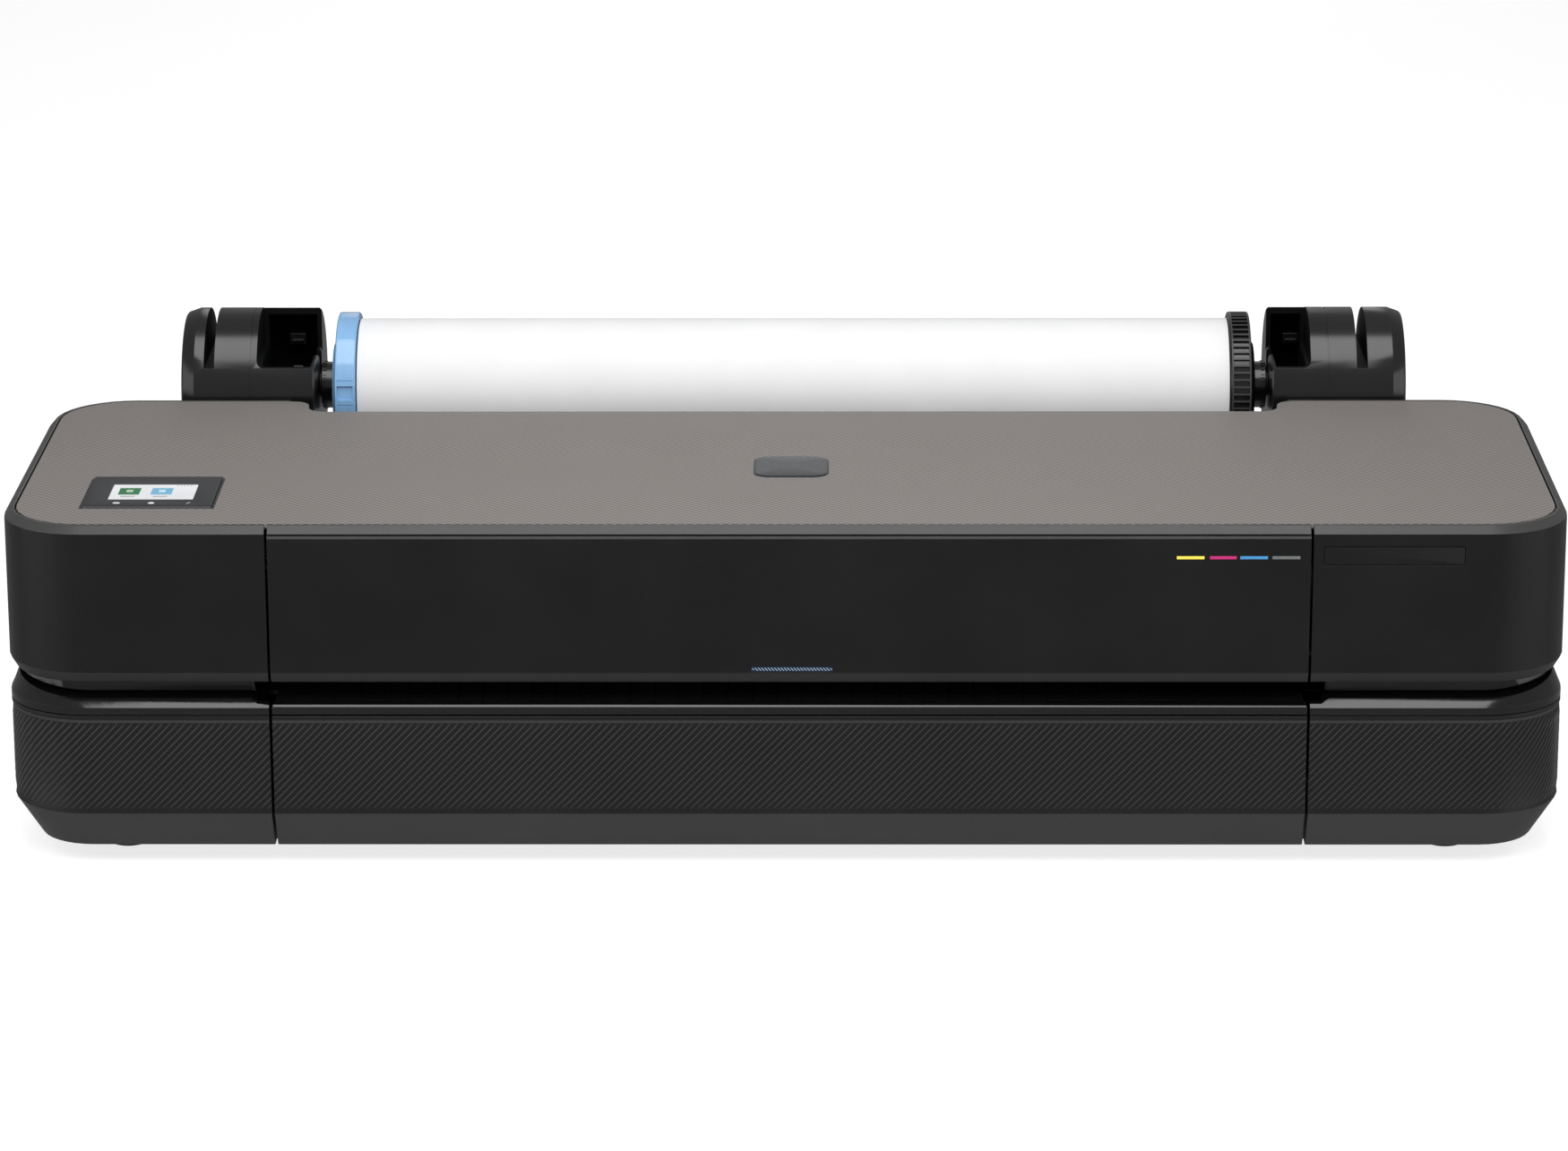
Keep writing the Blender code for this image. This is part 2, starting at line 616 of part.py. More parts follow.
def pinch_rollers():
    y = FEED_AXIS.y
    z = FEED_AXIS.z + FEED_RADIUS + PINCH_RADIUS + GAP
    axle = 0.0016
    frame = box("pinch_frame", (SHIFT - 0.300, y - 0.006, 0.1395), (SHIFT + 0.300, y + 0.022, BEAM_LOW - GAP),
                "sheet_steel", 0.0008)
    for number, place in enumerate(PINCH_PLACES, 1):
        x = SHIFT + place
        half = PINCH_LENGTH / 2
        profile = [
            (0.0, x + half + 0.003), (axle, x + half + 0.003), (axle, x + half), (PINCH_RADIUS, x + half),
            (PINCH_RADIUS, x - half), (axle, x - half), (axle, x - half - 0.003), (0.0, x - half - 0.003),
        ]
        turned(f"pinch_roller_{number}", profile, (0, y, z), "rubber", 20)
        for side in (-1, 1):
            near = x + side * (half + 0.0033)
            far = x + side * (half + 0.0058)
            arm = box(f"pinch_arm_{number}_{side + 1}", (min(near, far), y - 0.004, z - 0.003),
                      (max(near, far), y + 0.016, 0.145))
            join(frame, arm)


def rear_paper_guide():
    sheet = 0.0016
    bend = arc(0.020, 0.190, 0.068, 270, 352, 10)
    outer = [(-0.0055, 0.1220)] + bend + [(0.0885, 0.186), (0.1045, 0.1895)]
    inner = [(y - 0.0002, z + sheet) for y, z in ((0.1045, 0.1895), (0.0890, 0.1862))]
    inner += [(y, z) for y, z in reversed(arc(0.020, 0.190, 0.068 - sheet, 270, 350, 10))]
    inner += [(-0.0055, 0.1220 + sheet)]
    guide = prism("rear_paper_guide", outer + inner, "X", SHIFT - 0.325, SHIFT + 0.325, "black_satin")
    for side, label in ((-1, "left"), (1, "right")):
        inner_x = SHIFT + side * 0.3225
        outer_x = SHIFT + side * 0.3255
        cheek = box(f"guide_cheek_{label}", (min(inner_x, outer_x), 0.0743, 0.1573),
                    (max(inner_x, outer_x), 0.1032, 0.2215))
        join(guide, cheek)


# ---- Chassis and carriage -----------------------------------------------------------------
LEG_X = 0.480
ROD_Y = -0.052
ROD_Z = 0.168
ROD_RADIUS = 0.006
CARRIAGE_LEFT = 0.345
CARRIAGE_RIGHT = 0.452
CARRIAGE_FRONT = -0.140
CARRIAGE_BACK = -0.0385
CARRIAGE_LOW = 0.1330
CARRIAGE_HIGH = 0.2000
BELT_Y = (-0.0350, -0.0290)
BELT_Z = 0.190
PULLEY_RADIUS = 0.009
PULLEY_X = 0.460


def chassis_beam():
    beam = box("chassis_beam", (-LEG_X, BEAM_FRONT, BEAM_LOW), (LEG_X, BEAM_BACK, BEAM_HIGH), "sheet_steel")
    for side in (-1, 1):
        outer = side * LEG_X
        inner = side * (LEG_X - 0.003)
        leg = box(f"leg_{side + 1}", (min(inner, outer), -0.130, PAN_FLOOR),
                  (max(inner, outer), 0.040, BEAM_HIGH - 0.001))
        join(beam, leg)
        cut(beam, rod(f"pulley_pin_bore_{side + 1}", (side * PULLEY_X, BEAM_FRONT - 0.01, BELT_Z),
                      (side * PULLEY_X, BEAM_FRONT + 0.012, BELT_Z), 0.0033))
    hollow = box("beam_hollow", (0.002 - LEG_X, BEAM_FRONT + 0.012, BEAM_LOW - 0.01),
                 (LEG_X - 0.002, BEAM_BACK - 0.003, BEAM_HIGH - 0.003))
    cut(beam, hollow)


def carriage():
    x = (CARRIAGE_LEFT + CARRIAGE_RIGHT) / 2
    rail = LEG_X - 0.003 - GAP
    rod("carriage_rod", (-rail, ROD_Y, ROD_Z), (rail, ROD_Y, ROD_Z), ROD_RADIUS, "steel", 24)
    outline = [
        (CARRIAGE_FRONT, 0.150), (CARRIAGE_FRONT + 0.010, CARRIAGE_LOW), (CARRIAGE_BACK, CARRIAGE_LOW),
        (CARRIAGE_BACK, CARRIAGE_HIGH - 0.006), (CARRIAGE_BACK - 0.006, CARRIAGE_HIGH),
        (CARRIAGE_FRONT + 0.016, CARRIAGE_HIGH), (CARRIAGE_FRONT, CARRIAGE_HIGH - 0.020),
    ]
    body = prism("carriage", outline, "X", CARRIAGE_LEFT, CARRIAGE_RIGHT, "black_satin")
    cut(body, rod("rod_bore", (0.3, ROD_Y, ROD_Z), (0.5, ROD_Y, ROD_Z), ROD_RADIUS + GAP + 0.0002, segments=24))
    head_well = box("head_well", (x - 0.036, -0.122, CARRIAGE_LOW - 0.01), (x + 0.036, -0.072, 0.152))
    cut(body, head_well)
    clamp = box("belt_clamp", (x - 0.014, CARRIAGE_BACK - 0.004, BELT_Z - PULLEY_RADIUS + 0.0014),
                (x + 0.014, BELT_Y[1] + 0.0010, BELT_Z + PULLEY_RADIUS - 0.0014))
    join(body, clamp)
    head = box("print_head", (x - 0.036 + GAP, -0.122 + GAP, 0.1285), (x + 0.036 - GAP, -0.072 - GAP, 0.152 - GAP),
               "steel", 0.001)
    set_origin(body, (x, ROD_Y, ROD_Z))
    set_origin(head, (x, ROD_Y, ROD_Z))


def belt_drive():
    middle_y = (BELT_Y[0] + BELT_Y[1]) / 2
    inner = PULLEY_RADIUS + GAP
    outer = inner + 0.0009
    rim = {}
    for name, radius in (("outer", outer), ("inner", inner)):
        rim[name] = arc(PULLEY_X, BELT_Z, radius, -90, 90, 10) + arc(-PULLEY_X, BELT_Z, radius, 90, 270, 10)
    belt = prism("carriage_belt", rim["outer"], "Y", BELT_Y[0], BELT_Y[1], "rubber")
    cut(belt, prism("belt_inside", rim["inner"], "Y", BELT_Y[0] - 0.01, BELT_Y[1] + 0.01))
    for side, name in ((1, "drive_pulley"), (-1, "idler_pulley")):
        x = side * PULLEY_X
        pulley = rod(name, (x, BELT_Y[0] - 0.0003, BELT_Z), (x, BELT_Y[1] + 0.0003, BELT_Z), PULLEY_RADIUS,
                     "sheet_steel", 28)
        pin = rod(f"{name}_pin", (x, BELT_Y[1] - 0.001, BELT_Z), (x, BEAM_FRONT + 0.011, BELT_Z), 0.003, segments=16)
        join(pulley, pin)
        set_origin(pulley, (x, middle_y, BELT_Z))
    motor_x = -0.4600
    front = BELT_Y[0] - 0.0008
    motor = rod("carriage_motor", (motor_x, front - 0.036, BELT_Z), (motor_x, front, BELT_Z), 0.0150,
                "sheet_steel", 28)
    bracket = box("motor_bracket", (GAP + 0.003 - LEG_X, front - 0.030, BELT_Z - 0.013),
                  (motor_x, front - 0.008, BELT_Z + 0.013))
    join(motor, bracket)


def service_station():
    low_x = CARRIAGE_LEFT + 0.016
    high_x = CARRIAGE_RIGHT - 0.016
    station = box("service_station", (low_x, -0.128, 0.090), (high_x, -0.062, 0.1205), "gear_white", 0.001)
    for offset in (-0.018, 0.018):
        x = (low_x + high_x) / 2 + offset
        cap = box(f"cap_well_{offset > 0}", (x - 0.012, -0.118, 0.117), (x + 0.012, -0.074, 0.13))
        cut(station, cap)
    set_origin(station, ((low_x + high_x) / 2, -0.095, 0.090))


# ---- Inks and power -----------------------------------------------------------------------
BAY_LEFT = 0.236
BAY_RIGHT = 0.3325
BAY_FRONT = -0.206
BAY_BACK = -0.146
BAY_BOTTOM = 0.139
CARTRIDGE_TOP = 0.203
INKS = ("yellow", "magenta", "blue", "grey")


def ink_bay():
    wall = 0.0022
    bay = box("ink_bay", (BAY_LEFT, BAY_FRONT, BAY_BOTTOM), (BAY_RIGHT, BAY_BACK, 0.176), "black_satin")
    arm = box("bay_arm", (BAY_RIGHT - 0.002, -0.186, BAY_BOTTOM), (0.3600, BAY_BACK, BAY_BOTTOM + 0.004))
    leg = box("bay_leg", (0.3572, -0.186, PAN_FLOOR), (0.3600, BAY_BACK, BAY_BOTTOM + 0.001))
    join(bay, arm, leg)
    pitch = (BAY_RIGHT - BAY_LEFT - wall) / len(INKS)
    for number, ink in enumerate(INKS):
        low_x = BAY_LEFT + wall + number * pitch
        high_x = low_x + pitch - wall
        slot = box(f"bay_slot_{ink}", (low_x, BAY_FRONT + wall, BAY_BOTTOM + wall),
                   (high_x, BAY_BACK - wall, 0.20))
        cut(bay, slot)
        cartridge = box(f"ink_cartridge_{ink}", (low_x + GAP, BAY_FRONT + wall + GAP, BAY_BOTTOM + wall + GAP),
                        (high_x - GAP, BAY_BACK - wall - GAP, CARTRIDGE_TOP - 0.006), f"ink_{ink}", 0.0012)
        grip = box(f"ink_grip_{ink}", (low_x + 0.004, BAY_FRONT + 0.010, CARTRIDGE_TOP - 0.010),
                   (high_x - 0.004, BAY_FRONT + 0.034, CARTRIDGE_TOP))
        join(cartridge, grip)
        set_origin(cartridge, ((low_x + high_x) / 2, BAY_FRONT + 0.03, BAY_BOTTOM + wall))


def power_supply():
    box("power_supply", (-0.464, 0.004, PAN_FLOOR), (-0.362, 0.072, 0.088), "power_case", 0.0012)


# ---- Roll holders -------------------------------------------------------------------------
CRADLE_RISE = 0.024           # front wall of a cradle, above the roll's axis
CRADLE_BACK = 0.017           # the tall back half starts this far behind the axis
CRADLE_HOLLOW = 0.0500
ARM_END = 0.333               # all of these are measured from the roll's middle
DISC_OUTER = 0.4260
NECK = 0.0085
BUSH_RADIUS = 0.0081
LINK_TOP = 0.204


def roll_holder(side, label, drum_inner, seam, drum_outer, disc_inner):
    """One end of the roll cradle; side is -1 on the left, and distances are from the roll's middle.

    The seam is a groove round the drum, where its two mouldings meet.
    """
    def along(distance):
        return SHIFT + side * distance

    def span(name, near, far, low, high):
        xs = sorted((along(near), along(far)))
        return box(name, (xs[0], low[0], low[1]), (xs[1], high[0], high[1]))

    y, z = ROLL_Y, ROLL_Z
    edge = 0.0012
    groove = 0.0005
    profile = [
        (0.0, along(DISC_OUTER)), (HOLDER_RADIUS - 0.0040, along(DISC_OUTER)),
        (HOLDER_RADIUS - 0.0027, along(DISC_OUTER - edge)), (HOLDER_RADIUS, along(DISC_OUTER - 0.0090)),
        (HOLDER_RADIUS, along(seam + groove)), (HOLDER_RADIUS - groove, along(seam + groove)),
        (HOLDER_RADIUS - groove, along(seam - groove)), (HOLDER_RADIUS, along(seam - groove)),
        (HOLDER_RADIUS, along(ARM_END + edge)),
        (HOLDER_RADIUS - edge, along(ARM_END)), (0.0, along(ARM_END)),
    ]
    holder = turned(f"{label}_roll_holder", profile, ROLL_AXIS, "black_satin", 56)
    join(holder, span(f"{label}_link", ARM_END + 0.012, DISC_OUTER - 0.004, (BACK + GAP, 0.146),
                      (y - 0.010, LINK_TOP)))
    top = z + CRADLE_RISE
    cut(holder, span(f"{label}_slot", drum_outer, disc_inner, (y - 0.07, top), (y + 0.07, z + 0.07)))
    lip = 0.003
    corner_radius = 0.005
    outline = [(ARM_END - 0.01, z + 0.07), (ARM_END - 0.01, top - lip)]
    outline += arc(ARM_END + lip, top - lip, lip, 180, 90, 3)
    outline += arc(drum_inner - corner_radius, top + corner_radius, corner_radius, 270, 360, 4)
    outline += [(drum_inner, z + 0.07)]
    outline = [(along(distance), height) for distance, height in outline]
    cut(holder, prism(f"{label}_front", outline, "Y", y - 0.07, y + CRADLE_BACK))
    ends = sorted((along(ARM_END + 0.0032), along(drum_inner - 0.003)))
    hollow = rod(f"{label}_hollow", (ends[0], y, z), (ends[1], y, z), CRADLE_HOLLOW, segments=48)
    cut(holder, hollow)
    cut(holder, span(f"{label}_neck", ARM_END - 0.01, ARM_END + 0.005, (y - NECK, z), (y + NECK, z + 0.07)))
    neck = sorted((along(ARM_END - 0.01), along(ARM_END + 0.005)))
    cut(holder, rod(f"{label}_neck_seat", (neck[0], y, z), (neck[1], y, z), NECK, segments=32))
    return holder


GEAR_MODULE = 0.00125
SPINDLE_TEETH = 20
DRIVE_TEETH = 16
ROLL_GEAR_FAR = 0.3520
ROLL_GEAR_NEAR = 0.3460


def roll_holders():
    left = roll_holder(-1, "left", 0.3733, 0.3775, 0.4028, 0.4101)
    roll_holder(1, "right", 0.3600, 0.3722, 0.3918, 0.3994)
    centre = (SPINDLE_TEETH + DRIVE_TEETH) * GEAR_MODULE / 2
    low_x = SHIFT - ROLL_GEAR_FAR
    high_x = SHIFT - ROLL_GEAR_NEAR
    drive_z = ROLL_Z - centre
    phase = 90 + 180 / DRIVE_TEETH
    gear = prism("roll_drive_gear", gear_outline(DRIVE_TEETH, GEAR_MODULE, ROLL_Y, drive_z, phase), "X",
                 low_x, high_x, "gear_white")
    shaft = rod("drive_shaft", (low_x - 0.024, ROLL_Y, drive_z), (high_x - 0.001, ROLL_Y, drive_z), 0.004)
    join(gear, shaft)
    set_origin(gear, (low_x, ROLL_Y, drive_z))
    cut(left, rod("drive_bore", (low_x - 0.0260, ROLL_Y, drive_z), (low_x - 0.008, ROLL_Y, drive_z), 0.0044))


# ---- Roll on its spindle ------------------------------------------------------------------
def spindle():
    y, z = ROLL_Y, ROLL_Z
    half = ROLL_LENGTH / 2
    shaft_radius = 0.0090
    journal = 0.0060
    collar = 0.0163
    reach = 0.3560
    collar_near = 0.3232
    collar_far = ARM_END - 0.0012
    profile = [
        (0.0, SHIFT + reach), (journal, SHIFT + reach), (journal, SHIFT + collar_far),
        (collar, SHIFT + collar_far), (collar, SHIFT + collar_near), (shaft_radius, SHIFT + collar_near),
        (shaft_radius, SHIFT - collar_near), (collar, SHIFT - collar_near), (collar, SHIFT - collar_far),
        (journal, SHIFT - collar_far), (journal, SHIFT - reach), (0.0, SHIFT - reach),
    ]
    turned("spindle_shaft", profile, ROLL_AXIS, "black_satin", 32)
    gear = prism("spindle_gear", gear_outline(SPINDLE_TEETH, GEAR_MODULE, y, z, 90), "X",
                 SHIFT - ROLL_GEAR_FAR, SHIFT - ROLL_GEAR_NEAR, "gear_white")
    bore_start = SHIFT - ROLL_GEAR_FAR - 0.01
    cut(gear, rod("spindle_gear_bore", (bore_start, y, z), (bore_start + 0.03, y, z), journal + GAP, segments=32))
    set_origin(gear, ROLL_AXIS)
    for side, label in ((-1, "left"), (1, "right")):
        near = SHIFT + side * (ARM_END - 0.0006)
        far = SHIFT + side * (ARM_END + 0.0028)
        bush = ring(f"spindle_bush_{label}", journal + GAP, BUSH_RADIUS, min(near, far), max(near, far),
                    ROLL_AXIS, "gear_white", 32)
        set_origin(bush, ((near + far) / 2, y, z))
    core_radius = 0.0254
    ring("paper_roll", core_radius, ROLL_RADIUS, SHIFT - half + 0.0006, SHIFT + half - 0.0006, ROLL_AXIS,
         "paper_white", 56)
    bore = shaft_radius + GAP
    plug = core_radius - GAP
    inside = half - 0.030
    face = half
    rim = half + 0.0145
    back = half + 0.0180
    outer_edge = 0.0015
    for side, label, colour in ((-1, "blue", "hub_blue"), (1, "black", "black_satin")):
        hub = [
            (bore, side * back), (0.030, side * back), (0.034, side * rim), (HUB_RADIUS - outer_edge, side * rim),
            (HUB_RADIUS, side * (rim - outer_edge)), (HUB_RADIUS, side * (face + 0.0008)),
            (HUB_RADIUS - 0.0008, side * face), (plug, side * face), (plug, side * inside),
            (bore, side * inside), (bore, side * back),
        ]
        turned(f"{label}_hub", [(radius, SHIFT + place) for radius, place in hub], ROLL_AXIS, colour, 56)


# ---- Build --------------------------------------------------------------------------------
lower_covers()
upper_covers()
ledges()
rear_cover()
power_inlet()
base_pan()
feet()
top_cover()
window_rail()
front_window()
control_panel()
platen()
feed_drive()
pinch_rollers()
rear_paper_guide()
chassis_beam()
carriage()
belt_drive()
service_station()
ink_bay()
power_supply()
roll_holders()
spindle()
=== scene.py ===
import json
import math

import bmesh
import bpy
from mathutils import Matrix, Quaternion, Vector

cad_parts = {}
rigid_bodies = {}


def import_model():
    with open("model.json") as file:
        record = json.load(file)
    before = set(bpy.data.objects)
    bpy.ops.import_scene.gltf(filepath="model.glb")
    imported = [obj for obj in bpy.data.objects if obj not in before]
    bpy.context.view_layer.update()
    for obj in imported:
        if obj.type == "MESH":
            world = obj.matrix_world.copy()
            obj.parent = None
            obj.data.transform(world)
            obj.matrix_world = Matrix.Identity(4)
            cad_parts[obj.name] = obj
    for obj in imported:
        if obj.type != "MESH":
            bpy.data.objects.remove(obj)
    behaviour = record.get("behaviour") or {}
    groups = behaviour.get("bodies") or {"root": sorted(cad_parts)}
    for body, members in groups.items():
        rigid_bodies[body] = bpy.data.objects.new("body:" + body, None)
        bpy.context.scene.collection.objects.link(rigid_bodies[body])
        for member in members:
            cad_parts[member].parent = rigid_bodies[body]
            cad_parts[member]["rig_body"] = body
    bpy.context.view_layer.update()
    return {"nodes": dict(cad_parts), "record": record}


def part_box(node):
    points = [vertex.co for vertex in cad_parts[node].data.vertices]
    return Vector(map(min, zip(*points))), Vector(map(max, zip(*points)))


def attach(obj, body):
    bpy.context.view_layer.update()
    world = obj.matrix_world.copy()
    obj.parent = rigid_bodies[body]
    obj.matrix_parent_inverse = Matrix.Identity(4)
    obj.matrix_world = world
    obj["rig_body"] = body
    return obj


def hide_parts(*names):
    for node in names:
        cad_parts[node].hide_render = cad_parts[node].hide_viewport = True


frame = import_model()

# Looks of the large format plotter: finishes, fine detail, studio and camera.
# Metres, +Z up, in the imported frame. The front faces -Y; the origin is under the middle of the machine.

# ---- Dimensions that the detail shares with the frame --------------------------------------
HALF_WIDTH = 0.5065
FRONT = -0.220
BACK = 0.108
CORNER_RADIUS = 0.055
SHIFT = 0.003                 # the roll and the front seams sit this far right of the middle
COVER_TOP = 0.2353
ROLL_Y = 0.1655
ROLL_Z = 0.2305
HUB_RADIUS = 0.0512
ROLL_HALF = 0.3048
REAR_SEAM = 0.346


# ---- Material helpers ----------------------------------------------------------------------
class Finish:
    """A procedural material being put together round one Principled shader."""

    def __init__(self, name, metallic=0.0, specular=0.5):
        self.material = bpy.data.materials.new(name)
        self.material.use_nodes = True
        self.tree = self.material.node_tree
        self.shader = self.tree.nodes["Principled BSDF"]
        self.shader.inputs["Metallic"].default_value = metallic
        self.shader.inputs["Specular IOR Level"].default_value = specular
        self.place = self.tree.nodes.new("ShaderNodeTexCoord").outputs["Object"]

    def feed(self, socket, value):
        """Give a socket a number or a colour, or link it to another node's output."""
        if isinstance(value, bpy.types.NodeSocket):
            self.tree.links.new(value, socket)
        elif isinstance(value, tuple):
            socket.default_value = (*value, 1.0)
        else:
            socket.default_value = value

    def math(self, operation, first, second=0.0):
        """The result of a sum on two numbers or outputs."""
        node = self.tree.nodes.new("ShaderNodeMath")
        node.operation = operation
        self.feed(node.inputs[0], first)
        self.feed(node.inputs[1], second)
        return node.outputs[0]

    def stretched(self, x, y, z):
        """Object coordinates, stretched along each axis."""
        node = self.tree.nodes.new("ShaderNodeMapping")
        self.feed(node.inputs["Vector"], self.place)
        node.inputs["Scale"].default_value = (x, y, z)
        return node.outputs["Vector"]

    def noise(self, scale, detail=2.0, place=None):
        """Soft random cloud, with about scale waves to the metre."""
        node = self.tree.nodes.new("ShaderNodeTexNoise")
        self.feed(node.inputs["Vector"], place or self.place)
        node.inputs["Scale"].default_value = scale
        node.inputs["Detail"].default_value = detail
        return node.outputs["Fac"]

    def cells(self, scale):
        """Patches of one shade each, with about scale patches to the metre."""
        node = self.tree.nodes.new("ShaderNodeTexVoronoi")
        self.feed(node.inputs["Vector"], self.place)
        node.inputs["Scale"].default_value = scale
        return node.outputs["Color"]

    def spread(self, value, low, high, start=0.3, end=0.7):
        """Map a value that runs from start to end onto low to high."""
        node = self.tree.nodes.new("ShaderNodeMapRange")
        self.feed(node.inputs["Value"], value)
        node.inputs["From Min"].default_value = start
        node.inputs["From Max"].default_value = end
        node.inputs["To Min"].default_value = low
        node.inputs["To Max"].default_value = high
        return node.outputs["Result"]

    def blend(self, share, first, second):
        """A mix of two colours, where a share of 1 gives the second."""
        node = self.tree.nodes.new("ShaderNodeMix")
        node.data_type = "RGBA"
        self.feed(node.inputs["Factor"], share)
        for socket, colour in zip(node.inputs[6:8], (first, second)):
            self.feed(socket, colour)
        return node.outputs[2]

    def colour(self, value):
        self.feed(self.shader.inputs["Base Color"], value)

    def tint(self, pattern, dark, light, start=0.3, end=0.7):
        """Colour the surface from dark to light as a pattern runs from start to end."""
        self.colour(self.blend(self.spread(pattern, 0.0, 1.0, start, end), dark, light))

    def roughness(self, value):
        self.feed(self.shader.inputs["Roughness"], value)

    def bump(self, height, distance):
        """Raise the surface by up to a distance in metres where the height is 1."""
        node = self.tree.nodes.new("ShaderNodeBump")
        node.inputs["Strength"].default_value = 1.0
        node.inputs["Distance"].default_value = distance
        self.feed(node.inputs["Height"], height)
        self.feed(self.shader.inputs["Normal"], node.outputs["Normal"])

    def glow(self, colour, strength):
        self.feed(self.shader.inputs["Emission Color"], colour)
        self.shader.inputs["Emission Strength"].default_value = strength


def moulded(name, dark, light, rough, grain_scale, grain_depth, specular=0.5):
    """Moulded plastic: a fine spark-eroded grain over slow changes of shade and polish."""
    finish = Finish(name, specular=specular)
    grain = finish.noise(grain_scale, 3.0)
    patches = finish.noise(14.0, 4.0)
    shade = finish.math("MULTIPLY_ADD", grain, 0.75)
    finish.feed(shade.node.inputs[2], finish.math("MULTIPLY", patches, 0.25))
    finish.tint(shade, dark, light, 0.36, 0.64)
    finish.roughness(finish.spread(patches, rough - 0.04, rough + 0.04))
    finish.bump(grain, grain_depth)
    return finish.material


# ---- Finishes ------------------------------------------------------------------------------
def woven_cover():
    """Warm grey cover with a fine lattice of raised lozenges."""
    pitch = 0.00573
    turns = 2 * math.pi / pitch
    finish = Finish("woven_cover_grey", specular=0.35)
    parts = finish.tree.nodes.new("ShaderNodeSeparateXYZ")
    finish.feed(parts.inputs[0], finish.place)

    def lattice(frequency):
        """Crests in a chequered order, from cosine waves along X and Y."""
        across = finish.math("COSINE", finish.math("MULTIPLY", parts.outputs["X"], frequency))
        along = finish.math("COSINE", finish.math("MULTIPLY", parts.outputs["Y"], frequency))
        return finish.math("MULTIPLY", across, along)

    coarse = lattice(turns)
    weave = finish.math("ADD", coarse, finish.math("MULTIPLY", lattice(2 * turns), 0.6))
    raised = finish.spread(weave, 0.0, 1.0, -0.8, 1.2)
    patches = finish.noise(9.0, 4.0)
    fibre = finish.noise(1500.0, 2.0)
    base = finish.blend(finish.spread(patches, 0.0, 1.0), (0.146, 0.132, 0.124), (0.160, 0.145, 0.136))
    dotted = finish.blend(raised, base, (0.330, 0.306, 0.290))
    finish.colour(finish.blend(finish.spread(fibre, 0.0, 0.25), dotted, (0.150, 0.136, 0.128)))
    finish.roughness(finish.spread(patches, 0.54, 0.62))
    finish.bump(finish.math("ADD", raised, finish.math("MULTIPLY", fibre, 0.3)), 0.00010)
    return finish.material


def gloss_black():
    """Polished lip: deep black with a trace of orange peel and dust."""
    finish = Finish("gloss_black", specular=1.0)
    dust = finish.noise(900.0, 3.0)
    finish.tint(dust, (0.0035, 0.0035, 0.0040), (0.012, 0.012, 0.013), 0.55, 0.8)
    finish.roughness(finish.spread(finish.noise(40.0, 3.0), 0.10, 0.17))
    finish.bump(finish.noise(260.0, 1.0), 0.00002)
    return finish.material


def glossy_blue():
    """Blue hub: glossy plastic with faint flow lines."""
    finish = Finish("glossy_blue", specular=1.0)
    flow = finish.noise(60.0, 3.0, finish.stretched(3.0, 1.0, 1.0))
    finish.tint(flow, (0.235, 0.455, 0.745), (0.265, 0.490, 0.780))
    finish.roughness(finish.spread(flow, 0.09, 0.14))
    finish.bump(finish.noise(400.0, 2.0), 0.00001)
    return finish.material


def paper():
    """Uncoated plotter paper: bright white with fine fibres."""
    finish = Finish("plotter_paper", specular=0.25)
    fibres = finish.noise(900.0, 4.0, finish.stretched(0.35, 1.0, 1.0))
    cloud = finish.noise(22.0, 3.0)
    finish.tint(cloud, (0.835, 0.835, 0.842), (0.865, 0.865, 0.872))
    finish.roughness(finish.spread(fibres, 0.72, 0.84))
    finish.bump(fibres, 0.00003)
    return finish.material


def brushed_steel():
    """Ground shafts and rods: fine turning marks round the X axis."""
    finish = Finish("ground_steel", metallic=1.0)
    marks = finish.noise(2600.0, 3.0, finish.stretched(1.0, 0.04, 0.04))
    finish.tint(marks, (0.50, 0.51, 0.52), (0.62, 0.63, 0.64))
    finish.roughness(finish.spread(marks, 0.18, 0.30))
    finish.bump(marks, 0.00001)
    return finish.material


def sheet_steel():
    """Galvanised sheet with its crystal flakes."""
    finish = Finish("galvanised_sheet", metallic=1.0)
    flakes = finish.cells(160.0)
    fine = finish.noise(1200.0, 2.0)
    finish.tint(flakes, (0.36, 0.37, 0.38), (0.50, 0.51, 0.52), 0.0, 1.0)
    finish.roughness(finish.spread(flakes, 0.34, 0.50, 0.0, 1.0))
    finish.bump(fine, 0.00002)
    return finish.material


def rubber():
    """Soft matt rubber with a coarse grain."""
    finish = Finish("rubber", specular=0.3)
    grain = finish.noise(2200.0, 3.0)
    finish.tint(grain, (0.016, 0.016, 0.016), (0.034, 0.033, 0.032))
    finish.roughness(finish.spread(finish.noise(90.0, 3.0), 0.70, 0.86))
    finish.bump(grain, 0.00006)
    return finish.material


def lit_screen():
    """Backlit display: nearly even white with a faint fine-grained surface."""
    finish = Finish("lit_screen")
    cloud = finish.noise(30.0, 2.0)
    tone = finish.blend(finish.spread(cloud, 0.0, 1.0), (0.74, 0.76, 0.78), (0.82, 0.83, 0.85))
    finish.colour((0.02, 0.02, 0.02))
    finish.glow(tone, 0.95)
    finish.roughness(finish.spread(finish.noise(700.0, 2.0), 0.12, 0.20))
    finish.bump(finish.noise(3000.0, 1.0), 0.000005)
    return finish.material


def glowing(name, dark, light, strength):
    """A small lit or printed mark on a display."""
    finish = Finish(name)
    cloud = finish.noise(400.0, 2.0)
    finish.colour((0.02, 0.02, 0.02))
    finish.glow(finish.blend(finish.spread(cloud, 0.0, 1.0), dark, light), strength)
    finish.roughness(finish.spread(cloud, 0.18, 0.30))
    finish.bump(cloud, 0.000005)
    return finish.material


